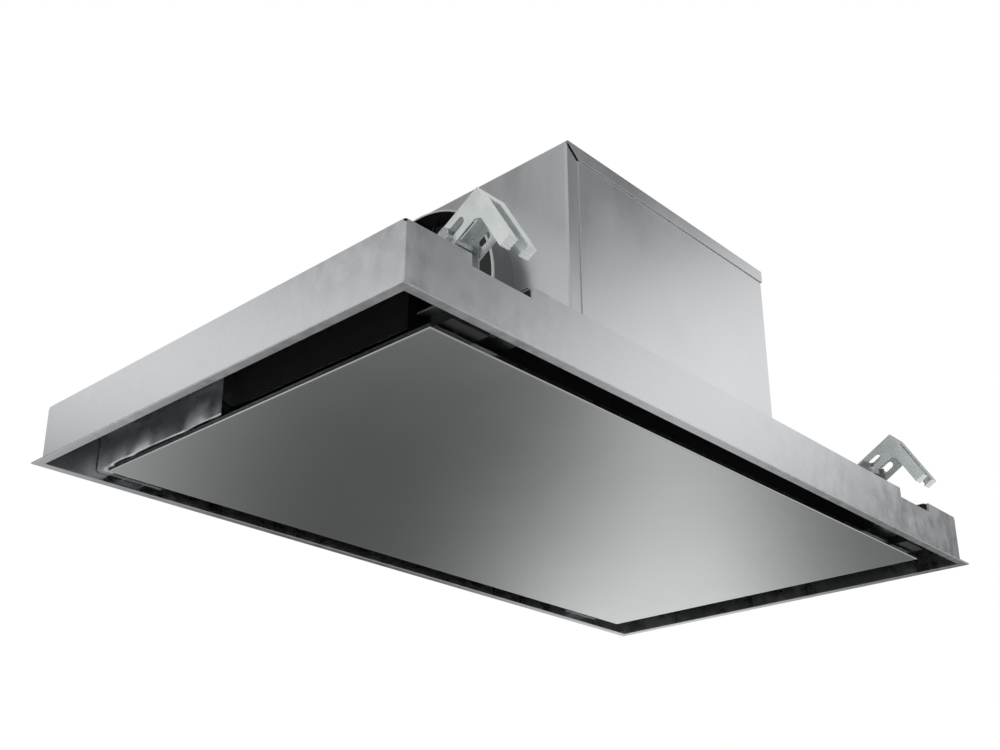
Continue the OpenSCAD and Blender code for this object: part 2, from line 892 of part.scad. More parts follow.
// Countersunk screws, flush with the top of the lid
module lid_screws() {
    color([0.78, 0.79, 0.80])
        at_lid_screws()
            difference() {
                union() {
                    translate([0, 0, shell_top - box_t - 3])
                        cylinder(r = 2, h = box_t + 3);
                    translate([0, 0, shell_top])
                        cylinder(r1 = 2, r2 = lid_head_r, h = lid_t - hair);
                }
                translate([-2, -0.3, total_h - 0.6])
                    cube([4, 0.6, 1]);
                translate([-0.3, -2, total_h - 0.6])
                    cube([0.6, 4, 1]);
            }
}

module box_screws() {
    color([0.78, 0.79, 0.80])
        at_box_screws()
            translate([0, 0, scroll_z])
                screw(2, box_t + pan_t + 3, 4, 2.4);
}

module outlet_collar() {
    color([0.20, 0.21, 0.22])
        difference() {
            union() {
                translate([collar_x - collar_l, 0, collar_mid])
                    rotate([0, 90, 0])
                        cylinder(r = collar_r, h = collar_l, $fn = 128);
                translate([collar_x - 1, 0, collar_mid])
                    rotate([0, 90, 0])
                        cylinder(r = collar_neck, h = box_t + collar_t + 1, $fn = 128);
                translate([collar_x + box_t, 0, collar_mid])
                    rotate([0, 90, 0])
                        cylinder(r = collar_r + collar_flange, h = collar_t, $fn = 128);
            }
            translate([collar_x - collar_l - 1, 0, collar_mid])
                rotate([0, 90, 0])
                    cylinder(r = collar_r - collar_t, h = collar_l + box_t + collar_t + 2, $fn = 128);
            translate([flap_x, 0, collar_mid])
                cylinder(r = flap_pin_r + hair, h = 2 * collar_r + 10, center = true);
        }
}

// Half-disc damper flap with its two barrels on the upright damper pin
module damper_flap(side) {
    gap = flap_barrel_r + 0.3;
    z_low = side < 0 ? -0.88 : -0.30;
    color([0.12, 0.12, 0.13])
        translate([flap_x, 0, collar_mid])
            difference() {
                union() {
                    intersection() {
                        rotate([0, 90, 0])
                            cylinder(r = flap_r, h = flap_t, center = true, $fn = 128);
                        translate([0, side * (gap + flap_r), 0])
                            cube([10, 2 * flap_r, 2 * flap_r], center = true);
                    }
                    for (k = [0, 1]) {
                        zz = (z_low + k * 0.9) * flap_r;
                        translate([0, 0, zz])
                            cylinder(r = flap_barrel_r, h = 0.26 * flap_r);
                        block([-flap_t / 2, min(0, side * (gap + 2)), zz],
                              [flap_t / 2, max(0, side * (gap + 2)), zz + 0.26 * flap_r]);
                    }
                }
                cylinder(r = flap_pin_r + hair, h = 2 * flap_r + 10, center = true);
            }
}

module damper_flap_front() {
    damper_flap(-1);
}

module damper_flap_rear() {
    damper_flap(1);
}

module damper_pin() {
    color([0.80, 0.81, 0.82])
        translate([flap_x, 0, collar_mid])
            cylinder(r = flap_pin_r, h = 2 * (collar_r - 0.8), center = true);
}

// One quarter of the spiral: a quarter disc between two heights
module quarter(cx, cy, r, a, z0, z1) {
    translate([cx, cy, 0])
        intersection() {
            translate([0, 0, z0])
                cylinder(r = r, h = z1 - z0, $fn = 128);
            rotate([0, 0, a])
                translate([-1, -1, z0])
                    cube([r + 2, r + 2, z1 - z0]);
        }
}

// Spiral body: four quarters of growing radius and the straight outlet towards the collar
module spiral(shrink, z0, z1) {
    s = scroll_step;
    r = scroll_r - shrink;
    h = s / 2;
    quarter(h, -h, r - 3 * s, 180, z0, z1);
    quarter(-h, -h, r - 2 * s, 270, z0, z1);
    quarter(-h, h, r - s, 0, z0, z1);
    quarter(h, h, r, 90, z0, z1);
    block([-40, -40, z0], [40, 40, z1]);
}

module fan_housing() {
    out_x = collar_x + box_t + collar_t - fan_x;
    color([0.16, 0.16, 0.17])
        translate([fan_x, fan_y, 0])
            difference() {
                union() {
                    spiral(0, scroll_z, scroll_top);
                    block([out_x, -scroll_r * 0.35, scroll_z],
                          [scroll_step / 2, scroll_r + scroll_step / 2, scroll_top]);
                }
                spiral(scroll_t, scroll_z - 1, scroll_top - scroll_t);
                block([out_x - 1, -scroll_r * 0.35 + scroll_t, scroll_z - 1],
                      [scroll_step / 2, scroll_r + scroll_step / 2 - scroll_t, scroll_top - scroll_t]);
                translate([0, 0, scroll_z])
                    cylinder(r = motor_r + 6, h = scroll_h + 1);
            }
}

module inlet_ring() {
    color([0.16, 0.16, 0.17])
        translate([fan_x, fan_y, 0])
            rotate_extrude($fn = 96)
                polygon([[inlet_r - 6, scroll_z], [inlet_r + 10, scroll_z], [inlet_r + 10, scroll_z + 2],
                         [inlet_r - 3.5, scroll_z + 2], [inlet_r - 8, wheel_z - 2],
                         [inlet_r - 10, wheel_z - 2]]);
}

module fan_wheel() {
    color([0.12, 0.12, 0.13])
        translate([fan_x, fan_y, 0]) {
            difference() {
                union() {
                    translate([0, 0, wheel_top - plate_t])
                        cylinder(r = wheel_r, h = plate_t, $fn = 96);
                    translate([0, 0, wheel_top - 22])
                        cylinder(r = hub_r, h = hub_top - wheel_top + 22);
                }
                translate([0, 0, wheel_top - 30])
                    cylinder(r = shaft_r + 0.02, h = 60);
            }
            translate([0, 0, wheel_z])
                difference() {
                    cylinder(r = wheel_r, h = plate_t, $fn = 96);
                    translate([0, 0, -1])
                        cylinder(r = wheel_r - 14, h = plate_t + 2, $fn = 96);
                }
            for (i = [0:blade_count - 1])
                rotate([0, 0, i * 360 / blade_count])
                    translate([wheel_r - 7.5, 0, wheel_z + wheel_h / 2])
                        rotate([0, 0, 28])
                            cube([12, 1.2, wheel_h - 2 * plate_t + 0.4], center = true);
        }
}

module motor_shaft() {
    color([0.78, 0.79, 0.81])
        translate([fan_x, fan_y, wheel_top - 24])
            cylinder(r = shaft_r, h = motor_z + 40 - wheel_top + 24);
}

module motor() {
    color([0.55, 0.57, 0.60])
        translate([fan_x, fan_y, 0])
            difference() {
                union() {
                    translate([0, 0, motor_z])
                        cylinder(r = motor_r, h = motor_seat - motor_z);
                    translate([0, 0, motor_seat])
                        cylinder(r = motor_flange_r, h = 3);
                    translate([0, 0, motor_seat + 3])
                        cylinder(r1 = motor_r, r2 = motor_r - 8, h = 10);
                }
                translate([0, 0, motor_z - 1])
                    cylinder(r = shaft_r + hair, h = 42);
                for (i = [0:11])
                    rotate([0, 0, i * 30])
                        translate([motor_r - 3, -3, motor_z + 12])
                            cube([6, 6, motor_h * 0.4]);
            }
}

module motor_bracket() {
    color([0.68, 0.70, 0.72])
        translate([fan_x, fan_y, 0])
            difference() {
                union() {
                    translate([0, 0, bracket_z])
                        cylinder(r = motor_flange_r + 4, h = bracket_t);
                    for (a = [45, 135])
                        rotate([0, 0, a])
                            block([-bush_at - bush_r, -bush_r, bracket_z],
                                  [bush_at + bush_r, bush_r, bracket_z + bracket_t]);
                }
                translate([0, 0, bracket_z - 1])
                    cylinder(r = motor_r + fit, h = bracket_t + 2);
                at_bushes()
                    translate([0, 0, bracket_z - 1])
                        cylinder(r = 2.05, h = bracket_t + 2);
            }
}

module at_bushes() {
    for (a = [45, 135, 225, 315])
        rotate([0, 0, a])
            translate([bush_at, 0, 0])
                children();
}

module rubber_bushes() {
    color([0.06, 0.06, 0.06])
        translate([fan_x, fan_y, 0])
            at_bushes()
                translate([0, 0, scroll_top])
                    difference() {
                        cylinder(r = bush_r, h = bush_h);
                        translate([0, 0, -1])
                            cylinder(r = 2.05, h = bush_h + 2);
                    }
}

module motor_screws() {
    color([0.78, 0.79, 0.80])
        translate([fan_x, fan_y, 0])
            at_bushes()
                translate([0, 0, bracket_z + bracket_t])
                    screw(2, bracket_t + bush_h - 0.2, 4, 2.4);
}

module capacitor() {
    color([0.86, 0.86, 0.84])
        translate([0, cap_y, scroll_z]) {
            cylinder(r = cap_r, h = cap_h);
            translate([0, 0, cap_h])
                cylinder(r = 5, h = 3);
        }
}

module terminal_block() {
    color([0.90, 0.88, 0.80])
        difference() {
            block([gland_x + 20, cap_y - 10, scroll_z], [gland_x + 70, cap_y + 10, scroll_z + 22]);
            for (i = [0:3])
                translate([gland_x + 28 + i * 11.3, cap_y, scroll_z + 12])
                    cylinder(r = 3, h = 12);
        }
}

module cable_gland() {
    color([0.08, 0.08, 0.08])
        translate([gland_x, box_w / 2 - box_t, gland_z])
            rotate([-90, 0, 0])
                difference() {
                    union() {
                        translate([0, 0, -3])
                            cylinder(r = gland_r + 3, h = 3);
                        cylinder(r = gland_r, h = box_t);
                        translate([0, 0, box_t])
                            cylinder(r = gland_r + 3, h = 4);
                        translate([0, 0, box_t + 4])
                            cylinder(r1 = gland_r + 2, r2 = gland_r - 1, h = 10);
                    }
                    translate([0, 0, -4])
                        cylinder(r = 4, h = 30);
                }
}

// Outline of one side of the clamp: slotted leg and prong, from the peak
module clamp_side() {
    polygon([[0, 0], [clamp_leg, 0], [clamp_leg, -clamp_leg_w], [clamp_prong_w + 5, -clamp_leg_w],
             [clamp_prong_w, -clamp_leg_w - 5], [clamp_prong_w, -clamp_prong], [0, -clamp_prong]]);
}

// Clamp in its own plane: leg along the first axis, prong down the second, width along Z
module clamp_flat() {
    difference() {
        union() {
            for (z = [0, clamp_w - clamp_t])
                translate([0, 0, z])
                    linear_extrude(clamp_t)
                        clamp_side();
            for (z = [0, clamp_w - ret_leg])
                block([0, -clamp_t, z], [clamp_leg, 0, z + ret_leg]);
            for (z = [0, clamp_w - ret_prong])
                block([0, -clamp_prong, z], [clamp_t, 0, z + ret_prong]);
            block([0, -clamp_t, 0], [bridge, 0, clamp_w]);
            block([0, -bridge_drop, 0], [clamp_t, 0, clamp_w]);
            for (z = [0, clamp_w - pad_l])
                block([0, -clamp_prong, z], [clamp_prong_w, -clamp_prong + clamp_t, z + pad_l]);
            for (z = [0, clamp_w - pad_l])
                for (i = [0:3])
                    block([0.4 + i * 3, -clamp_prong - 0.7, z], [1.6 + i * 3, -clamp_prong, z + pad_l]);
        }
        translate([slot_out, -slot_mid, -1])
            cylinder(r = slot_r, h = clamp_w + 2);
        translate([slot_in, -slot_mid, -1])
            cylinder(r = slot_r, h = clamp_w + 2);
        block([slot_out, -slot_mid - slot_r, -1], [slot_in, -slot_mid + slot_r, clamp_w + 1]);
    }
}

module clamp(mx, my) {
    color([0.70, 0.73, 0.75])
        mirror([mx, 0, 0])
            mirror([0, my, 0])
                translate([-clamp_x - clamp_w / 2, -clamp_y, clamp_peak_z])
                    rotate([90, 0, 90])
                        rotate([0, 0, -clamp_tilt])
                            clamp_flat();
}

module clamp_front_l() {
    clamp(0, 0);
}

module clamp_front_r() {
    clamp(1, 0);
}

module clamp_rear_l() {
    clamp(0, 1);
}

module clamp_rear_r() {
    clamp(1, 1);
}

module at_post_rivets() {
    for (s = [-1, 1])
        translate([-clamp_x, -bolt_y + s * (post_d / 2 + 6), 0])
            children();
}

// Uprights on the air pan that carry the clamps' bolts
module clamp_posts() {
    x0 = -clamp_x - post_w / 2;
    color([0.66, 0.69, 0.71])
        four_clamps()
            difference() {
                union() {
                    block([x0, -bolt_y - post_d / 2 - 12, pan_top],
                          [x0 + post_w, -bolt_y + post_d / 2 + 12, pan_top + post_t]);
                    for (x = [x0, x0 + post_w - post_t])
                        block([x, -bolt_y - post_d / 2, pan_top],
                              [x + post_t, -bolt_y + post_d / 2, pan_top + post_h]);
                }
                translate([-clamp_x, -bolt_y, bolt_z])
                    rotate([0, 90, 0])
                        cylinder(r = bolt_r + hair, h = post_w + 2, center = true);
                at_post_rivets()
                    translate([0, 0, pan_top - 1])
                        cylinder(r = 2.05, h = post_t + 2);
            }
}

module post_rivets() {
    color([0.78, 0.79, 0.80])
        four_clamps()
            at_post_rivets()
                translate([0, 0, pan_top + post_t])
                    screw(2, post_t + pan_t + 0.4, 3.6, 1.4);
}

module clamp_bolts() {
    color([0.80, 0.81, 0.82])
        four_clamps()
            translate([-clamp_x, -bolt_y, bolt_z])
                rotate([0, 90, 0]) {
                    cylinder(r = bolt_r, h = clamp_w + 1.2, center = true);
                    for (s = [-1, 1])
                        translate([0, 0, s * (clamp_w / 2 + 0.3 + 2.25)])
                            cylinder(r = bolt_r * 1.75, h = 4.5, center = true, $fn = 6);
                }
}

frame_front();
frame_rear();
frame_left();
frame_right();
air_pan();
pan_end_l();
pan_end_r();
filter_housing();
pan_rivets();
cover_panel();
panel_core();
panel_tray();
hinge_arms();
hinge_bracket_l();
hinge_bracket_r();
hinge_pins();
catch_bracket_l();
catch_bracket_r();
catch_body_l();
catch_body_r();
catch_plunger_l();
catch_plunger_r();
strike_plates();
filter_frame_l();
filter_frame_r();
filter_mesh_l();
filter_mesh_r();
filter_catch_l();
filter_catch_r();
control_cover();
control_board();
box_shell();
outlet_plate();
box_floor();
front_cover();
lid();
lid_screws();
box_screws();
outlet_collar();
damper_flap_front();
damper_flap_rear();
damper_pin();
fan_housing();
inlet_ring();
fan_wheel();
motor_shaft();
motor();
motor_bracket();
rubber_bushes();
motor_screws();
capacitor();
terminal_block();
cable_gland();
clamp_front_l();
clamp_front_r();
clamp_rear_l();
clamp_rear_r();
clamp_posts();
post_rivets();
clamp_bolts();
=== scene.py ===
import functools
import json
import math

import bmesh
import bpy
from mathutils import Matrix, Vector

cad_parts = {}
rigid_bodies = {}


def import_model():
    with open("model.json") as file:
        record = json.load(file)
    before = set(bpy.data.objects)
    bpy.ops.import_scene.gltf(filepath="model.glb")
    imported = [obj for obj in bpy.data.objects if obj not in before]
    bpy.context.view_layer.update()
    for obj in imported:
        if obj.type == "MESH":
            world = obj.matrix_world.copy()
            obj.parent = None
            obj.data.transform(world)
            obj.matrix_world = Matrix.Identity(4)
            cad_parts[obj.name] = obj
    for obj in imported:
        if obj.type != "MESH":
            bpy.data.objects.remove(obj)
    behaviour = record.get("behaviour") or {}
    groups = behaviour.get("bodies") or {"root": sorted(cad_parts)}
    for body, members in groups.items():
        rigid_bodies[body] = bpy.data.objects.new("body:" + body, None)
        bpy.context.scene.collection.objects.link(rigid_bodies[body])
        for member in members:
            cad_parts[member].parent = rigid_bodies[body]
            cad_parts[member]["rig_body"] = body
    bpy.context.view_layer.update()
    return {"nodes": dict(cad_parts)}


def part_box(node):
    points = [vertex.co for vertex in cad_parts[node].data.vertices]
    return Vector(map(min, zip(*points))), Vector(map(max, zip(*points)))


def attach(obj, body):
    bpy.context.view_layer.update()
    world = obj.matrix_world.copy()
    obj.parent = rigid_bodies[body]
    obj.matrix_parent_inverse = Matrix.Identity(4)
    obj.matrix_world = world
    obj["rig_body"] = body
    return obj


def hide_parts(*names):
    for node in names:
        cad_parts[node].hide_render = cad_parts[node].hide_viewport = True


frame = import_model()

bl_info = {
    "name": "Ceiling Range Hood",
    "version": (1, 0, 0),
    "blender": (4, 5, 0),
    "location": "3D View > Sidebar > Range Hood",
    "description": "Dresses the range hood's CAD frame with rounded sheet metal, finishes and a studio",
    "category": "Object",
}

MM = 0.001
TOUCH = 0.01 * MM  # points nearer than this to a plane lie on it
NODES = frame["nodes"]


def linear(code):
    """Linear RGBA of an sRGB hex colour."""
    steps = [int(code[i:i + 2], 16) / 255 for i in (0, 2, 4)]
    return (*[c / 12.92 if c <= 0.04045 else ((c + 0.055) / 1.055) ** 2.4 for c in steps], 1.0)


# ---------------------------------------------------------------- sizes and colours that a user would change

def length(name, description, default, low, high):
    """A length that a user can change, given in millimetres."""
    return bpy.props.FloatProperty(name=name, description=description, default=default * MM, min=low * MM,
                                   max=high * MM, unit="LENGTH")


def colour(name, description, code):
    """A colour that a user can change, given as an sRGB hex code."""
    return bpy.props.FloatVectorProperty(name=name, description=description, default=linear(code)[:3],
                                         size=3, min=0, max=1, subtype="COLOR")


class HoodSizes(bpy.types.PropertyGroup):
    """Sizes of the details that the CAD frame leaves out."""
    fold_radius: length("Fold radius", "Outer radius of the folded sheet's edges", 0.55, 0.1, 2)
    cut_radius: length("Cut radius", "Rounding of the sheet's cut edges", 0.18, 0.05, 1)
    panel_fold: length("Panel fold", "Outer radius of the cover panel's folded lower edge", 1.2, 0.3, 2.5)
    corner_radius: length("Corner radius", "Outer radius of the frame's upright corners", 1.1, 0.3, 3)
    cover_stop: length("Cover stop", "Distance from the flange's rear edge to the control cover", 10, 9.5, 40)
    mesh_pitch: length("Mesh pitch", "Distance between the strands of the filters' fine mesh", 7, 4, 20)
    mesh_strand: length("Mesh strand", "Width of a strand of the filters' fine mesh", 1.1, 0.5, 2)
    rim_radius: length("Rim radius", "Rounding of the frame's upper rim", 1.0, 0.2, 1.1)
    cover_bend: length("Cover bend", "Bend radius of the control cover's lower edge", 3, 0.5, 11)
    box_radius: length("Box radius", "Outer radius of the blower box's upright corners", 2.5, 0.5, 4)
    notch_in: length("Notch place", "Distance from the flange's end to a clamp notch", 75, 40, 150)
    notch_length: length("Notch length", "Length of a clamp notch", 68.4, 40, 90)
    notch_height: length("Notch height", "Depth of a clamp notch below the frame's top", 10.5, 4, 20)
    wall_in: length("Wall place", "Distance from the flange's edge to the wall's inner face", 9.2, 5, 30)
    pocket_depth: length("Pocket depth", "Depth of the sheet pocket behind a clamp notch", 30, 10, 40)
    collar_inner: length("Collar bore", "Inner radius of the outlet collar", 99.5, 80, 105)
    floor_depth: length("Floor depth", "How far the studio's floor lies below the flange", 1500, 600, 3000)


class HoodFinishes(bpy.types.PropertyGroup):
    """Colours of the finishes."""
    steel: colour("Stainless steel", "Reflection colour of the brushed stainless sheet", "dadcde")
    galvanised: colour("Galvanised steel", "Reflection colour of the galvanised sheet", "b4b8ba")
    zinc: colour("Zinc plating", "Reflection colour of the clamps' pale blue zinc plating", "f4f9f8")
    panel_steel: colour("Panel steel", "Reflection colour of the cover panel's polished stainless sheet",
                        "d2d5d4")
    # also the colour of the painted shade in the pockets behind the clamp notches
    black_paint_and_shade: colour("Black paint", "Colour of the black powder coat inside the recess", "1c1c1e")
    collar: colour("Outlet collar", "Reflection colour of the outlet collar's outside", "7d8183")
    floor: colour("Floor", "Colour of the studio's floor", "e8e8e8")


def sizes():
    """The scene's sizes."""
    return bpy.context.scene.hood_sizes


def finishes():
    """The scene's colours."""
    return bpy.context.scene.hood_finishes


# ---------------------------------------------------------------- materials

def add_node(tree, kind, settings=None, **links):
    """Adds a node, gives it its settings, and links or sets its inputs: Two_Words by name, i0 by number."""
    node = tree.nodes.new(kind)
    for key, value in (settings or {}).items():
        setattr(node, key, value)
    for key, value in links.items():
        socket = node.inputs[int(key[1:]) if key[1:].isdigit() else key.replace("_", " ")]
        if isinstance(value, bpy.types.NodeSocket):
            tree.links.new(value, socket)
        else:
            socket.default_value = value
    return node


def calc(tree, operation, *values):
    """The result of a math node."""
    inputs = {f"i{k}": value for k, value in enumerate(values)}
    return add_node(tree, "ShaderNodeMath", {"operation": operation}, **inputs).outputs[0]


def new_material(name):
    """An empty material with its Principled shader and output, and the object's own coordinates."""
    mat = bpy.data.materials.new(name)
    mat.use_nodes = True
    tree = mat.node_tree
    tree.nodes.clear()
    shader = add_node(tree, "ShaderNodeBsdfPrincipled")
    add_node(tree, "ShaderNodeOutputMaterial", Surface=shader.outputs[0])
    here = add_node(tree, "ShaderNodeTexCoord").outputs["Object"]
    return mat, tree, shader, here


def noise(tree, here, size, detail=3.0, stretch=(1, 1, 1), roughness=0.5):
    """Noise with features about `size` metres across, drawn out along the axes by `stretch`."""
    place = add_node(tree, "ShaderNodeMapping", Vector=here, Scale=tuple(1 / s for s in stretch))
    return add_node(tree, "ShaderNodeTexNoise", Vector=place.outputs[0], Scale=1 / size, Detail=detail,
                    Roughness=roughness).outputs[0]


def spread(tree, value, low, high, from_low=0.3, from_high=0.7):
    """Maps a pattern's value from its middle range to low..high."""
    return add_node(tree, "ShaderNodeMapRange", Value=value, From_Min=from_low, From_Max=from_high,
                    To_Min=low, To_Max=high).outputs[0]


def tint(tree, factor, dark, light):
    """Colour between dark and light by factor."""
    mix = add_node(tree, "ShaderNodeMix", {"data_type": "RGBA"}, Factor=factor)
    mix.inputs[6].default_value = dark
    mix.inputs[7].default_value = light
    return mix.outputs[2]


def shade(colour, factor):
    """A colour made lighter or darker."""
    return (*[min(1.0, c * factor) for c in colour[:3]], 1.0)


def bump(tree, shader, height, distance, strength):
    """Lets a pattern dent the shader's normal by `distance` metres."""
    made = add_node(tree, "ShaderNodeBump", Height=height, Distance=distance, Strength=strength)
    tree.links.new(made.outputs[0], shader.inputs["Normal"])


def drift(tree, shader, here):
    """Makes a sheet flat only to about 0.1 mm over a hand's width, so that its reflections drift."""
    bump(tree, shader, noise(tree, here, 150 * MM, 0.0), 0.5 * MM, 0.3)


@functools.cache
def mill_stainless_sheet():
    """Stainless sheet as it leaves the mill: milky, bluish clouds that handling and rolling left on it."""
    mat, tree, shader, here = new_material("mill_stainless_sheet")
    steel = finishes().steel
    bluish = [c * k for c, k in zip(steel, (0.985, 1.0, 1.01))]
    shader.inputs["Metallic"].default_value = 1.0
    # clouds about 14 mm wide, gathered in swathes of about 120 mm
    clouds = noise(tree, here, 14 * MM, 2.0, stretch=(1, 1, 1.3))
    swathes = noise(tree, here, 120 * MM, 1.0)
    clouds = spread(tree, clouds, -1, 1, 0.3, 0.7)
    depth = spread(tree, swathes, 0.05, 0.5, 0.35, 0.65)
    both = calc(tree, "MULTIPLY_ADD", clouds, depth, 0.5)
    tree.links.new(tint(tree, both, shade(bluish, 0.82), shade(steel, 1.12)), shader.inputs["Base Color"])
    tree.links.new(spread(tree, both, 0.22, 0.36, 0, 1), shader.inputs["Roughness"])
    drift(tree, shader, here)
    return mat


@functools.cache
def pressed_bright_stainless():
    """Thin bright-annealed sheet, pressed hollow towards its foot: its dents throw fans of light."""
    mat, tree, shader, here = new_material("pressed_bright_stainless")
    lo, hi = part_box("control_cover")
    shader.inputs["Metallic"].default_value = 1.0
    shader.inputs["Base Color"].default_value = shade(finishes().steel, 0.82)
    smears = noise(tree, here, 40 * MM, 2.0)
    tree.links.new(spread(tree, smears, 0.24, 0.34), shader.inputs["Roughness"])
    # it leans in ever more from its top to its foot, by an amount that changes every 40 mm or so along it
    z = add_node(tree, "ShaderNodeSeparateXYZ", Vector=here).outputs["Z"]
    down = spread(tree, z, 0.0, 1.0, hi.z, lo.z)
    lean = calc(tree, "POWER", down, 2.2)
    dents = spread(tree, noise(tree, here, 42 * MM, 1.0, stretch=(1, 1, 3)), -13 * MM, -4.5 * MM)
    height = calc(tree, "MULTIPLY", lean, dents)
    bump(tree, shader, height, 1.0, 1.0)
    return mat


@functools.cache
def brushed_stainless_sheet():
    """Folded stainless sheet with a fine ground face: soft, slightly cloudy reflections and a faint grain."""
    mat, tree, shader, here = new_material("brushed_stainless_sheet")
    steel = finishes().steel
    shader.inputs["Metallic"].default_value = 1.0
    # milky clouds about 20 mm wide and twice as tall, over slow changes of about 90 mm
    clouds = noise(tree, here, 20 * MM, 2.5, stretch=(1, 1, 2), roughness=0.45)
    slow = noise(tree, here, 90 * MM, 1.0)
    both = calc(tree, "MULTIPLY_ADD", clouds, 0.6, slow)
    tree.links.new(tint(tree, spread(tree, both, 0, 1, 0.5, 1.1), shade(steel, 0.92), shade(steel, 1.05)),
                   shader.inputs["Base Color"])
    tree.links.new(spread(tree, both, 0.24, 0.32, 0.5, 1.1), shader.inputs["Roughness"])
    drift(tree, shader, here)
    return mat


@functools.cache
def galvanised_sheet():
    """Hot-dip galvanised sheet: dull grey with faint spangle, a little blotchy."""
    mat, tree, shader, here = new_material("galvanised_sheet")
    zinc = finishes().galvanised
    # zinc crystals of about 8 mm
    spangle = add_node(tree, "ShaderNodeTexVoronoi", Vector=here, Scale=1 / (8 * MM)).outputs["Color"]
    grey = add_node(tree, "ShaderNodeSeparateColor", Color=spangle).outputs[0]
    shader.inputs["Metallic"].default_value = 1.0
    tree.links.new(tint(tree, grey, shade(zinc, 0.86), shade(zinc, 1.04)), shader.inputs["Base Color"])
    tree.links.new(spread(tree, grey, 0.38, 0.5, 0, 1), shader.inputs["Roughness"])
    bump(tree, shader, noise(tree, here, 12 * MM, 2.0), 0.2 * MM, 0.4)
    return mat


def sheet_with_painted_shade(name, outside, inside, is_painted_shade, is_painted_highlight=None):
    """Blotchy sheet of one colour outside, with painted shade inside: a near-black colour where the inside
    lies in shade.

    The inside test (tree, x, y, z) gives 1 where shade is painted, and the rim test (tree, x, y, z) gives 1
    on a rim with a painted highlight.
    """
    mat, tree, shader, here = new_material(name)
    axes = add_node(tree, "ShaderNodeSeparateXYZ", Vector=here).outputs
    # mask of the painted shade inside
    inner = is_painted_shade(tree, *axes[:3])
    blotch = noise(tree, here, 20 * MM, 3.0)
    outer_tint = tint(tree, spread(tree, blotch, 0, 1), shade(outside, 0.93), shade(outside, 1.04))
    # painted highlight: the rim gets a near-white colour for the light it catches
    if is_painted_highlight:
        painted_highlight = add_node(tree, "ShaderNodeMix", {"data_type": "RGBA"}, Factor=is_painted_highlight(tree, *axes[:3]))
        tree.links.new(outer_tint, painted_highlight.inputs[6])
        painted_highlight.inputs[7].default_value = linear("e4e6e7")
        outer_tint = painted_highlight.outputs[2]
    # painted shade: the inside gets a dark colour for the shade within it
    painted_shade_tint = tint(tree, spread(tree, blotch, 0, 1), shade(inside, 0.8), shade(inside, 1.1))
    mix = add_node(tree, "ShaderNodeMix", {"data_type": "RGBA"}, Factor=inner)
    tree.links.new(outer_tint, mix.inputs[6])
    tree.links.new(painted_shade_tint, mix.inputs[7])
    tree.links.new(mix.outputs[2], shader.inputs["Base Color"])
    tree.links.new(spread(tree, inner, 1.0, 0.0, 0, 1), shader.inputs["Metallic"])
    tree.links.new(spread(tree, inner, 0.42, 0.6, 0, 1), shader.inputs["Roughness"])
    bump(tree, shader, blotch, 0.1 * MM, 0.3)
    return mat


@functools.cache
def galvanised_pan_with_painted_shade():
    """Air pan: galvanised on its upper face, with painted shade on the face towards the recess: near-black
    for the shade there.
    """
    # the painted shade lies below this height
    painted_shade_limit = 58.2 * MM  # within the pan's sheet, which lies 57.3 to 58.5 mm up

    def below(tree, x, y, z):
        return calc(tree, "LESS_THAN", z, painted_shade_limit)
    # painted shade: near-black 101011 on the pan's underside
    return sheet_with_painted_shade("galvanised_pan_with_painted_shade", finishes().galvanised, linear("101011"), below)


@functools.cache
def collar_with_painted_shade_and_highlight():
    """Outlet collar: grey rolled sheet outside, painted shade inside (near-black within the bore), and a
    painted highlight (near-white) on its front rim.
    """
    lo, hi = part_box("outlet_collar")
    middle = (lo + hi) / 2
    # painted shade within this radius of the collar's axis
    painted_shade_limit = sizes().collar_inner + 0.7 * MM
    # painted highlight on the first 2.2 mm from the collar's outer end
    painted_highlight = lo.x + 2.2 * MM

    def bored(tree, x, y, z):
        dy = calc(tree, "SUBTRACT", y, middle.y)
        dz = calc(tree, "SUBTRACT", z, middle.z)
        yy = calc(tree, "MULTIPLY", dy, dy)
        rr = calc(tree, "MULTIPLY_ADD", dz, dz, yy)
        return calc(tree, "LESS_THAN", rr, painted_shade_limit ** 2)

    def rim(tree, x, y, z):
        return calc(tree, "LESS_THAN", x, painted_highlight)
    # painted shade inside in near-black 0c0c0d
    return sheet_with_painted_shade("collar_with_painted_shade_and_highlight", finishes().collar, linear("0c0c0d"), bored, rim)


@functools.cache
def blue_zinc_plate():
    """Pressed steel with pale blue zinc plating: milky, with cloudy stains and soft gleams."""
    mat, tree, shader, here = new_material("blue_zinc_plate")
    zinc = finishes().zinc
    stains = noise(tree, here, 14 * MM, 1.0)
    shader.inputs["Metallic"].default_value = 0.62
    tree.links.new(tint(tree, spread(tree, stains, 0, 1), shade(zinc, 0.96), shade(zinc, 1.05)),
                   shader.inputs["Base Color"])
    tree.links.new(spread(tree, stains, 0.22, 0.3), shader.inputs["Roughness"])
    return mat


@functools.cache
def bright_zinc_fastener():
    """Turned and headed steel with bright zinc plating: small sharp highlights."""
    mat, tree, shader, here = new_material("bright_zinc_fastener")
    wear = noise(tree, here, 2 * MM, 3.0)
    shader.inputs["Metallic"].default_value = 1.0
    tree.links.new(tint(tree, spread(tree, wear, 0, 1), linear("c4c7ca"), linear("dcdee0")),
                   shader.inputs["Base Color"])
    tree.links.new(spread(tree, wear, 0.18, 0.28), shader.inputs["Roughness"])
    return mat


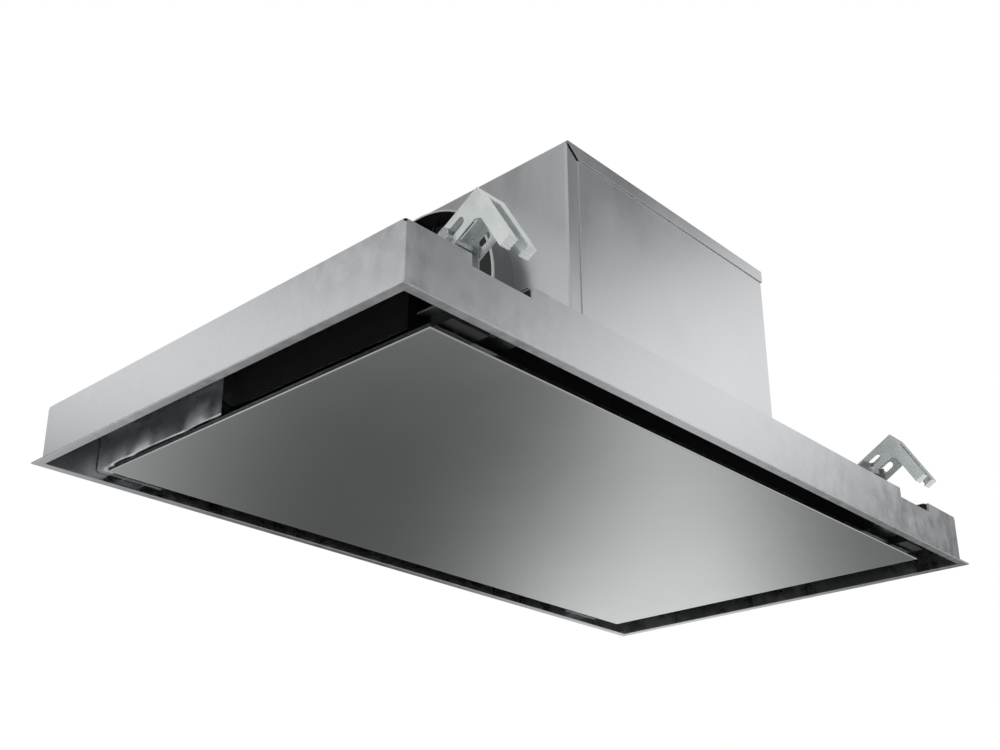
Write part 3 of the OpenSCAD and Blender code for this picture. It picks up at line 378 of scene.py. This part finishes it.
@functools.cache
def satin_polished_stainless():
    """Fine-polished stainless sheet: an almost mirror-like face whose reflections have soft edges."""
    mat, tree, shader, here = new_material("satin_polished_stainless")
    steel = finishes().panel_steel
    tone = noise(tree, here, 150 * MM, 2.0)
    shader.inputs["Metallic"].default_value = 1.0
    tree.links.new(tint(tree, spread(tree, tone, 0, 1), shade(steel, 0.985), shade(steel, 1.015)),
                   shader.inputs["Base Color"])
    # wiped dust softens the gloss a little
    smears = noise(tree, here, 60 * MM, 2.0)
    tree.links.new(spread(tree, smears, 0.19, 0.205), shader.inputs["Roughness"])
    return mat


@functools.cache
def black_coat_and_painted_shade():
    """Matt black powder coat, also used as painted shade behind the clamp notches: very fine orange peel,
    hardly any gloss.
    """
    mat, tree, shader, here = new_material("black_coat_and_painted_shade")
    black = finishes().black_paint_and_shade
    dust = noise(tree, here, 30 * MM, 4.0)
    tree.links.new(tint(tree, spread(tree, dust, 0, 1), shade(black, 0.9), shade(black, 1.15)),
                   shader.inputs["Base Color"])
    shader.inputs["Roughness"].default_value = 0.55
    bump(tree, shader, noise(tree, here, 0.8 * MM, 1.0), 0.04 * MM, 0.4)
    return mat


@functools.cache
def grained(name, dark, light, roughness, grain, metallic=0.0):
    """Moulded, cast or etched surface with a fine grain, its width given in mm."""
    mat, tree, shader, here = new_material(name)
    grain *= MM
    tone = noise(tree, here, 25 * MM, 3.0)
    tree.links.new(tint(tree, spread(tree, tone, 0, 1), linear(dark), linear(light)),
                   shader.inputs["Base Color"])
    shader.inputs["Metallic"].default_value = metallic
    shader.inputs["Roughness"].default_value = roughness
    bump(tree, shader, noise(tree, here, grain, 1.0), grain * 0.06, 0.5)
    return mat


def black_nylon():
    """Matt black nylon mouldings."""
    return grained("moulded_black_nylon", "161617", "1f1f21", 0.45, 0.6)


# ---------------------------------------------------------------- shaping helpers

def make_whole(bm):
    """Joins the triangles of flat faces."""
    bmesh.ops.dissolve_limit(bm, angle_limit=math.radians(0.6), use_dissolve_boundaries=False,
                             verts=bm.verts, edges=bm.edges, delimit=set())


def joined_copy(node):
    """A bmesh of a CAD node's mesh with its loose triangles merged and its flat faces made whole."""
    bm = bmesh.new()
    bm.from_mesh(NODES[node].data)
    bmesh.ops.remove_doubles(bm, verts=bm.verts, dist=TOUCH / 5)
    make_whole(bm)
    return bm


def sharp_edges(bm, angle, keep=lambda edge: True):
    """The edges where faces meet at more than `angle` degrees."""
    return [e for e in bm.edges
            if len(e.link_faces) == 2 and e.calc_face_angle(0) > math.radians(angle) and keep(e)]


def round_edges(bm, edges, width, segments=2):
    """Bevels edges to a round."""
    if edges and width > 0:
        bmesh.ops.bevel(bm, geom=edges, offset=width, offset_type="OFFSET", segments=segments, profile=0.5,
                        affect="EDGES", clamp_overlap=True, material=-1)


def to_object(bm, name, material):
    """Makes an object of a bmesh."""
    mesh = bpy.data.meshes.new(name)
    bm.to_mesh(mesh)
    bm.free()
    mesh.materials.append(material)
    made = bpy.data.objects.new(name, mesh)
    bpy.context.scene.collection.objects.link(made)
    return made


def to_piece(bm, name, material, body, replaced=()):
    piece = to_object(bm, name, material)
    for face in piece.data.polygons:
        face.use_smooth = True
    piece.data.set_sharp_from_angle(angle=math.radians(40))
    even = piece.modifiers.new("even_normals", "WEIGHTED_NORMAL")
    even.keep_sharp = True
    even.mode = "FACE_AREA"
    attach(piece, body)
    if replaced:
        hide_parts(*replaced)


def whole_box(nodes):
    """The box round several nodes."""
    corners = [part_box(node) for node in nodes]
    return (Vector([min(c[0][k] for c in corners) for k in range(3)]),
            Vector([max(c[1][k] for c in corners) for k in range(3)]))


def body_of(node):
    """The moving body that a CAD node belongs to."""
    return NODES[node]["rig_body"]


def to_skin(bm, node, material):
    """Makes a piece of a bmesh, in place of a CAD node."""
    to_piece(bm, node + "_skin", material, body_of(node), (node,))


def soften(node, material, width, segments=2):
    """A copy of a CAD node with its sharp edges rounded, in place of the node."""
    bm = joined_copy(node)
    round_edges(bm, sharp_edges(bm, 30), width, segments)
    to_skin(bm, node, material)


def cut_away(bm, point, out):
    """Cuts off what lies beyond a plane and closes the cut."""
    made = bmesh.ops.bisect_plane(bm, geom=[*bm.verts, *bm.edges, *bm.faces], dist=1e-7, plane_co=point,
                                  plane_no=out, clear_outer=True)
    cut = [g for g in made["geom_cut"] if isinstance(g, bmesh.types.BMEdge) and len(g.link_faces) < 2]
    if cut:
        bmesh.ops.holes_fill(bm, edges=cut, sides=0)


def round_upright(bm, x, y, radius, steps=4):
    """Rounds the upright outer corner at x, y of a shape round the middle by planes that touch the arc."""
    sx, sy = math.copysign(1, x), math.copysign(1, y)
    middle = Vector((x - sx * radius, y - sy * radius, 0))
    for k in range(steps):
        turn = math.radians(90 * (k + 0.5) / steps)
        out = Vector((sx * math.cos(turn), sy * math.sin(turn), 0))
        cut_away(bm, middle + out * radius, out)


def finish_nodes(material, *nodes):
    """Gives CAD nodes that stay as they are their material."""
    for node in nodes:
        materials = NODES[node].data.materials
        materials.clear()
        materials.append(material)


# ---------------------------------------------------------------- operators

class HOOD_OT_stage(bpy.types.Operator):
    """Studio: camera, pale surroundings, floor, gauze tent and soft light"""
    bl_idname = "hood.stage"
    bl_label = "Studio and Camera"

    def execute(self, context):
        scene = context.scene
        scene.view_settings.view_transform = "Standard"
        self.make_camera(scene)
        self.make_world(scene)
        self.make_floor()
        self.make_tent()
        self.make_lamps()
        return {"FINISHED"}

    def make_camera(self, scene):
        data = bpy.data.cameras.new("studio_camera")
        data.sensor_width = 36.0
        data.lens = 46.98
        data.shift_x = 0.0135
        data.shift_y = 0.085
        data.clip_start, data.clip_end = 0.05, 200.0
        data.dof.use_dof = False
        camera = bpy.data.objects.new("studio_camera", data)
        camera.location = (-0.9859, -0.8273, -0.4430)
        camera.rotation_euler = (math.radians(90 + 21.642), 0, math.radians(-47.01))
        scene.collection.objects.link(camera)
        scene.camera = camera

    def seen(self, tree):
        """1 for what the camera, a mirror or a glass sees, 0 for what only lights the hood"""
        path = add_node(tree, "ShaderNodeLightPath")
        seen = calc(tree, "MAXIMUM", path.outputs["Is Camera Ray"], path.outputs["Is Glossy Ray"])
        return calc(tree, "MAXIMUM", seen, path.outputs["Is Transmission Ray"])

    def make_world(self, scene):
        world = bpy.data.worlds.new("pale_studio")
        scene.world = world
        world.use_nodes = True
        tree = world.node_tree
        tree.nodes.clear()
        strength = spread(tree, self.seen(tree), 0.85, 1.0, 0, 1)
        back = add_node(tree, "ShaderNodeBackground", Color=(1, 1, 1, 1), Strength=strength)
        add_node(tree, "ShaderNodeOutputWorld", Surface=back.outputs[0])

    def make_floor(self):
        """A pale floor that runs out into the white surroundings"""
        mat, tree, shader, here = new_material("pale_studio_floor")
        tone = noise(tree, here, 0.9, 3.0)
        floor = finishes().floor
        tree.links.new(tint(tree, spread(tree, tone, 0, 1), shade(floor, 0.985), shade(floor, 1.01)),
                       shader.inputs["Base Color"])
        shader.inputs["Roughness"].default_value = 0.9
        # its own paleness where it is seen, from four fifths at the hood to white from 9 m out
        far = add_node(tree, "ShaderNodeVectorMath", {"operation": "LENGTH"}, i0=here).outputs["Value"]
        paleness = spread(tree, far, 0.8, 1.0, 2.0, 9.0)
        pale = add_node(tree, "ShaderNodeEmission", Color=(1, 1, 1, 1), Strength=paleness)
        share = calc(tree, "MULTIPLY", self.seen(tree), paleness)
        mixed = add_node(tree, "ShaderNodeMixShader", i0=share, i1=shader.outputs[0], i2=pale.outputs[0])
        output = next(n for n in tree.nodes if n.type == "OUTPUT_MATERIAL")
        tree.links.new(mixed.outputs[0], output.inputs["Surface"])
        bm = bmesh.new()
        bmesh.ops.create_circle(bm, cap_ends=True, radius=60.0, segments=96)
        bmesh.ops.translate(bm, verts=bm.verts, vec=(0, 0, -sizes().floor_depth))
        to_object(bm, "studio_floor", mat)

    def way(self, az, el, far):
        """The point `far` metres from the hood, at an azimuth from +Y towards +X and a height angle"""
        a, e = math.radians(az), math.radians(el)
        return Vector((math.sin(a) * math.cos(e), math.cos(a) * math.cos(e), math.sin(e))) * far

    def patch(self, tree, angles, middle, reach, feather):
        """1 in the middle of a patch of the tent, fading to 0 about `reach` degrees (sideways, up) from it"""
        parts = []
        for angle, at, far in zip(angles, middle, reach):
            off = calc(tree, "SUBTRACT", angle, math.radians(at))
            off = calc(tree, "WRAP", off, math.pi, -math.pi)
            off = calc(tree, "MULTIPLY", off, 1 / math.radians(far))
            parts.append(calc(tree, "POWER", calc(tree, "MULTIPLY", off, off), feather / 2))
        fall = calc(tree, "MULTIPLY", calc(tree, "ADD", *parts), -1.0)
        return calc(tree, "EXPONENT", fall)

    def make_tent(self):
        """A tent of grey gauze that only polished sheet sees, with windows on the pale studio"""
        mat = bpy.data.materials.new("grey_gauze")
        mat.use_nodes = True
        tree = mat.node_tree
        tree.nodes.clear()
        here = add_node(tree, "ShaderNodeTexCoord").outputs["Object"]
        way = add_node(tree, "ShaderNodeVectorMath", {"operation": "NORMALIZE"}, i0=here).outputs[0]
        x, y, z = add_node(tree, "ShaderNodeSeparateXYZ", Vector=way).outputs[:3]
        angles = calc(tree, "ARCTAN2", x, y), calc(tree, "ARCSINE", z)
        # (azimuth, height angle), (reach sideways, reach up), feather, change of the gauze's density
        patches = {
            "left side": ((-35, 22), (34, 30), 4, 0.5),
            "front side": ((122, 20), (34, 30), 4, 0.5),
            "under side": ((45, -18), (42, 19), 4, 0.48),
            "left window": ((-41, 23.6), (19, 6), 4, -1.3),
            "left window, far": ((-62.5, 24.4), (6.6, 16.9), 2, -1.05),
            "front window, high": ((117.6, 28.1), (14.2, 4.9), 2.6, -1.75),
            "front window, low": ((131.9, 18.6), (11.2, 7.3), 2, -1.78),
            "front window, right": ((92.4, 7.1), (7, 7), 2, -0.23),
            "panel window": ((55.3, -5.9), (8.8, 11.1), 2, -1.61),
            "panel window, low": ((59.2, -28.5), (5.9, 13.4), 2, -0.61),
            "far left window": ((16.9, -20), (9.9, 20.2), 2, -0.52),
            "front arris window": ((112, -26), (22, 20), 4, -1.2),
            "left arris window": ((-24, -27), (24, 19), 4, -1.2),
            "behind, high": ((62, 33), (24, 16), 4, 0.5),
        }
        density = 0.48  # where there is no patch
        for middle, reach, feather, change in patches.values():
            patch = self.patch(tree, angles, middle, reach, feather)
            density = calc(tree, "MULTIPLY_ADD", patch, change, density)
        density = add_node(tree, "ShaderNodeClamp", Value=density, Min=0.0, Max=0.95).outputs[0]
        gauze = add_node(tree, "ShaderNodeEmission", Color=(0.94, 0.97, 1.0, 1), Strength=0.06)
        air = add_node(tree, "ShaderNodeBsdfTransparent")
        mixed = add_node(tree, "ShaderNodeMixShader", i0=density, i1=air.outputs[0], i2=gauze.outputs[0])
        add_node(tree, "ShaderNodeOutputMaterial", Surface=mixed.outputs[0])
        bm = bmesh.new()
        bmesh.ops.create_icosphere(bm, subdivisions=5, radius=4.0)
        lowest = -sizes().floor_depth * 0.96  # just above the floor
        for vert in bm.verts:
            if vert.co.z < lowest:
                vert.co *= lowest / vert.co.z
        tent = to_object(bm, "gauze_tent", mat)
        tent.visible_camera = tent.visible_diffuse = tent.visible_shadow = tent.visible_transmission = False

    def make_lamps(self):
        """Softboxes aimed at the hood"""
        # name: (azimuth, height angle, distance, width, height, power in watts)
        boxes = {
            "key_softbox": (122, 24, 3.2, 1.3, 0.4, 0.25),
            "left_softbox": (-31, 26, 3.2, 0.9, 0.5, 0.25),
        }
        for name, (az, el, far, wide, high, power) in boxes.items():
            data = bpy.data.lights.new(name, "AREA")
            data.shape = "RECTANGLE"
            data.size, data.size_y = wide, high
            data.energy = power
            lamp = bpy.data.objects.new(name, data)
            lamp.location = self.way(az, el, far)
            lamp.rotation_mode = "QUATERNION"
            lamp.rotation_quaternion = lamp.location.to_track_quat("Z", "Y")
            lamp.visible_camera = False
            bpy.context.scene.collection.objects.link(lamp)


class HOOD_OT_frame(bpy.types.Operator):
    """Frame of four mitred stainless sides, and the pockets of painted shade behind the clamp notches"""
    bl_idname = "hood.frame_sides"
    bl_label = "Frame Sides"

    SIDES = {"frame_front": (0, -1), "frame_rear": (0, 1), "frame_left": (-1, 0), "frame_right": (1, 0)}

    def execute(self, context):
        whole = self.whole_frame()
        steel = mill_stainless_sheet()
        lo, hi = whole_box(self.SIDES)
        for node, (sx, sy) in self.SIDES.items():
            bm = whole.copy()
            # the mitre planes run at 45 degrees through the two outer corners of a side
            for turn in (-1, 1):
                corner = (hi.x if (sx or turn) > 0 else lo.x, hi.y if (sy or turn) > 0 else lo.y, 0)
                cut_away(bm, corner, (-sx or turn, -sy or turn, 0))
            to_skin(bm, node, steel)
        whole.free()
        self.pockets(lo, hi)
        return {"FINISHED"}

    def whole_frame(self):
        """The four sides as one sheet, rounded, so that no seam shows at the mitres"""
        bm = bmesh.new()
        for node in self.SIDES:
            bm.from_mesh(NODES[node].data)
        bmesh.ops.remove_doubles(bm, verts=bm.verts, dist=TOUCH)
        # the mitre faces stand upright at 45 degrees
        seams = [f for f in bm.faces
                 if abs(abs(f.normal.x) - abs(f.normal.y)) < 0.02 and abs(f.normal.z) < 0.02]
        bmesh.ops.delete(bm, geom=seams, context="FACES_ONLY")
        make_whole(bm)
        upright = sharp_edges(bm, 30, lambda e: e.calc_length() > 20 * MM
                              and abs(e.verts[0].co.z - e.verts[1].co.z) > 0.9 * e.calc_length())
        round_edges(bm, upright, sizes().corner_radius, 4)
        rim = max(v.co.z for v in bm.verts) - TOUCH
        round_edges(bm, sharp_edges(bm, 50, lambda e: all(v.co.z < TOUCH for v in e.verts)),
                    sizes().fold_radius, 3)
        round_edges(bm, sharp_edges(bm, 50, lambda e: all(v.co.z > rim for v in e.verts)),
                    sizes().rim_radius, 3)
        round_edges(bm, sharp_edges(bm, 50), sizes().cut_radius * 1.5, 2)
        return bm

    def pockets(self, lo, hi):
        """Folded sheet that closes each clamp notch towards the recess, black as painted shade for the dark
        behind the notch
        """
        place = sizes()
        for name, sx, sy in (("front_l", -1, -1), ("front_r", 1, -1), ("rear_l", -1, 1), ("rear_r", 1, 1)):
            bm = bmesh.new()
            x1 = hi.x - place.notch_in
            x0 = x1 - place.notch_length
            y1 = hi.y - place.wall_in
            y0 = y1 - place.pocket_depth
            z0, z1 = hi.z - place.notch_height, hi.z - 0.2 * MM
            t = 0.8 * MM  # the sheet's thickness
            for a, b in (((x0, y0, z0 - t), (x1, y1, z0)), ((x0, y0, z0), (x1, y0 + t, z1)),
                         ((x0 - t, y0, z0 - t), (x0, y1, z1)), ((x1, y0, z0 - t), (x1 + t, y1, z1))):
                made = bmesh.ops.create_cube(bm, size=1.0)["verts"]
                bmesh.ops.scale(bm, verts=made, vec=[q - p for p, q in zip(a, b)])
                bmesh.ops.translate(bm, verts=made, vec=[(p + q) / 2 for p, q in zip(a, b)])
            bmesh.ops.scale(bm, verts=bm.verts, vec=(sx, sy, 1))
            if sx * sy < 0:
                bmesh.ops.reverse_faces(bm, faces=bm.faces)
            # painted shade: black sheet where behind the notch there is only shade
            to_piece(bm, "painted_shade_pocket_" + name, black_coat_and_painted_shade(), body_of("frame_front"))


class HOOD_OT_panel(bpy.types.Operator):
    """Cover panel with folded edges, and the tray, core, arms and strike plates behind it"""
    bl_idname = "hood.cover_panel"
    bl_label = "Cover Panel"

    def execute(self, context):
        bm = joined_copy("cover_panel")
        rim = max(v.co.z for v in bm.verts) - TOUCH
        round_edges(bm, sharp_edges(bm, 30, lambda e: all(v.co.z < TOUCH for v in e.verts)),
                    sizes().panel_fold, 5)
        round_edges(bm, sharp_edges(bm, 50, lambda e: all(v.co.z > rim for v in e.verts)), sizes().cut_radius)
        to_skin(bm, "cover_panel", satin_polished_stainless())
        soften("panel_tray", black_coat_and_painted_shade(), sizes().cut_radius)
        soften("hinge_arms", galvanised_sheet(), sizes().cut_radius)
        finish_nodes(grained("grey_stiffening_board", "3c3d3f", "47484a", 0.7, 2), "panel_core")
        finish_nodes(bright_zinc_fastener(), "strike_plates")
        return {"FINISHED"}


class HOOD_OT_recess(bpy.types.Operator):
    """Recess behind the panel: air pan, filter housing, control cover, brackets, catches and hinges"""
    bl_idname = "hood.recess"
    bl_label = "Recess"

    def execute(self, context):
        finish_nodes(galvanised_pan_with_painted_shade(), "air_pan", "pan_end_l", "pan_end_r")
        soften("filter_housing", black_coat_and_painted_shade(), sizes().cut_radius)
        self.control_cover()
        for node in ("hinge_bracket_l", "hinge_bracket_r", "catch_bracket_l", "catch_bracket_r"):
            soften(node, galvanised_sheet(), sizes().cut_radius)
        for node in ("catch_body_l", "catch_body_r", "filter_catch_l", "filter_catch_r"):
            soften(node, black_nylon(), sizes().cut_radius * 2)
        finish_nodes(bright_zinc_fastener(), "catch_plunger_l", "catch_plunger_r", "hinge_pins", "pan_rivets")
        finish_nodes(grained("green_solder_mask", "14603c", "1b7048", 0.3, 1), "control_board")
        return {"FINISHED"}

    def control_cover(self):
        """Bends the cover's lower edges widely and lets its far end reach the frame's rear side"""
        bm = joined_copy("control_cover")
        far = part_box("control_cover")[1].y
        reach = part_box("frame_rear")[1].y - sizes().cover_stop - far
        bmesh.ops.translate(bm, verts=[v for v in bm.verts if v.co.y > far - 2 * MM], vec=(0, reach, 0))
        low = min(v.co.z for v in bm.verts) + TOUCH
        side = min(v.co.x for v in bm.verts) + TOUCH
        bent = sharp_edges(bm, 30, lambda e: all(v.co.z < low and v.co.x < side for v in e.verts))
        round_edges(bm, bent, sizes().cover_bend, 8)
        to_skin(bm, "control_cover", pressed_bright_stainless())


class HOOD_OT_filters(bpy.types.Operator):
    """Two grease filters: anodised frames with expanded aluminium mesh"""
    bl_idname = "hood.filters"
    bl_label = "Grease Filters"

    def execute(self, context):
        satin = grained("satin_anodised_aluminium", "b9bbbe", "c6c8ca", 0.35, 0.4, metallic=1.0)
        for side in "lr":
            soften("filter_frame_" + side, satin, sizes().cut_radius * 2)
            finish_nodes(satin, "filter_mesh_" + side)
            self.expanded_mesh(side, satin)
        return {"FINISHED"}

    def expanded_mesh(self, side, satin):
        """Fine diamond mesh that lies on the coarse grid, inside the filter's frame"""
        place = sizes()
        lo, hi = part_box("filter_mesh_" + side)
        middle = (lo + hi) / 2
        reach = math.hypot(hi.x - lo.x, hi.y - lo.y) / 2
        count = int(reach / place.mesh_pitch)
        thick, lift, lean = 0.8 * MM, 0.7 * MM, math.radians(32)
        bm = bmesh.new()
        for angle in (-lean, lean):
            turn = Matrix.Rotation(angle, 3, "Z")
            for k in range(-count, count + 1):
                strand = bmesh.ops.create_cube(bm, size=1.0)["verts"]
                bmesh.ops.scale(bm, verts=strand, vec=(2 * reach, place.mesh_strand, thick))
                bmesh.ops.translate(bm, verts=strand, vec=(0, k * place.mesh_pitch, 0))
                bmesh.ops.rotate(bm, verts=strand, cent=(0, 0, 0), matrix=turn)
        bmesh.ops.translate(bm, verts=bm.verts, vec=(middle.x, middle.y, hi.z + lift))
        for corner, out in ((lo, (-1, 0, 0)), (lo, (0, -1, 0)), (hi, (1, 0, 0)), (hi, (0, 1, 0))):
            cut_away(bm, corner, out)
        to_piece(bm, "expanded_mesh_" + side, satin, body_of("filter_mesh_" + side))


class HOOD_OT_box(bpy.types.Operator):
    """Blower box: shell, outlet side, floor, front cover, lid and their screws"""
    bl_idname = "hood.blower_box"
    bl_label = "Blower Box"

    def execute(self, context):
        steel = brushed_stainless_sheet()
        lo, hi = whole_box(("box_shell", "outlet_plate"))
        for node in ("box_shell", "outlet_plate"):
            bm = joined_copy(node)
            for x in (lo.x, hi.x):
                for y in (lo.y, hi.y):
                    round_upright(bm, x, y, sizes().box_radius)
            to_skin(bm, node, steel)
        soften("front_cover", steel, sizes().cut_radius * 1.5)
        soften("lid", steel, sizes().fold_radius * 0.7)
        finish_nodes(galvanised_sheet(), "box_floor")
        finish_nodes(bright_zinc_fastener(), "lid_screws", "box_screws")
        return {"FINISHED"}


class HOOD_OT_outlet(bpy.types.Operator):
    """Outlet collar with its two-part damper"""
    bl_idname = "hood.outlet"
    bl_label = "Air Outlet"

    def execute(self, context):
        soften("outlet_collar", collar_with_painted_shade_and_highlight(), sizes().fold_radius * 1.8, 3)
        flap = grained("damper_polypropylene", "17171a", "202023", 0.5, 0.6)
        for side in ("front", "rear"):
            soften("damper_flap_" + side, flap, sizes().cut_radius)
        finish_nodes(bright_zinc_fastener(), "damper_pin")
        return {"FINISHED"}


class HOOD_OT_clamps(bpy.types.Operator):
    """Four slotted ceiling clamps with their posts, rivets and bolts"""
    bl_idname = "hood.clamps"
    bl_label = "Ceiling Clamps"

    def execute(self, context):
        for node in ("clamp_front_l", "clamp_front_r", "clamp_rear_l", "clamp_rear_r"):
            soften(node, blue_zinc_plate(), sizes().cut_radius * 1.2)
        soften("clamp_posts", galvanised_sheet(), sizes().cut_radius)
        finish_nodes(bright_zinc_fastener(), "post_rivets", "clamp_bolts")
        return {"FINISHED"}


class HOOD_OT_blower(bpy.types.Operator):
    """Blower inside the box: housing, inlet ring, wheel, shaft, motor, bracket and bushes"""
    bl_idname = "hood.blower"
    bl_label = "Blower"

    def execute(self, context):
        finish_nodes(black_nylon(), "fan_housing", "inlet_ring", "fan_wheel")
        finish_nodes(bright_zinc_fastener(), "motor_shaft", "motor_screws")
        finish_nodes(grained("die_cast_aluminium", "8f9396", "9da1a4", 0.45, 1.2, metallic=1.0), "motor")
        finish_nodes(galvanised_sheet(), "motor_bracket")
        finish_nodes(grained("black_rubber", "121212", "1a1a1a", 0.75, 0.8), "rubber_bushes")
        return {"FINISHED"}


class HOOD_OT_electrics(bpy.types.Operator):
    """Capacitor, terminal block and cable gland"""
    bl_idname = "hood.electrics"
    bl_label = "Electrics"

    def execute(self, context):
        finish_nodes(grained("white_capacitor_case", "d8d8d4", "e2e2de", 0.3, 0.8), "capacitor")
        cream = grained("cream_polyamide", "ded8c2", "e8e2ce", 0.5, 0.6)
        soften("terminal_block", cream, sizes().cut_radius)
        soften("cable_gland", black_nylon(), sizes().cut_radius)
        return {"FINISHED"}


STEPS = (HOOD_OT_stage, HOOD_OT_frame, HOOD_OT_panel, HOOD_OT_recess, HOOD_OT_filters, HOOD_OT_box,
         HOOD_OT_outlet, HOOD_OT_clamps, HOOD_OT_blower, HOOD_OT_electrics)


class HOOD_PT_panel(bpy.types.Panel):
    """Lists the steps and the sizes and colours in the sidebar"""
    bl_idname = "HOOD_PT_panel"
    bl_label = "Range Hood"
    bl_space_type = "VIEW_3D"
    bl_region_type = "UI"
    bl_category = "Range Hood"

    def draw(self, context):
        for step in STEPS:
            self.layout.operator(step.bl_idname)
        for group in (context.scene.hood_sizes, context.scene.hood_finishes):
            column = self.layout.column()
            for key in group.bl_rna.properties.keys():
                if key not in ("rna_type", "name"):
                    column.prop(group, key)


CLASSES = (HoodSizes, HoodFinishes, *STEPS, HOOD_PT_panel)


def register():
    for cls in CLASSES:
        bpy.utils.register_class(cls)
    bpy.types.Scene.hood_sizes = bpy.props.PointerProperty(type=HoodSizes)
    bpy.types.Scene.hood_finishes = bpy.props.PointerProperty(type=HoodFinishes)


def unregister():
    del bpy.types.Scene.hood_finishes
    del bpy.types.Scene.hood_sizes
    for cls in reversed(CLASSES):
        bpy.utils.unregister_class(cls)


def main():
    register()
    for step in STEPS:
        group, call = step.bl_idname.split(".")
        getattr(getattr(bpy.ops, group), call)()


if __name__ == "__main__":
    main()
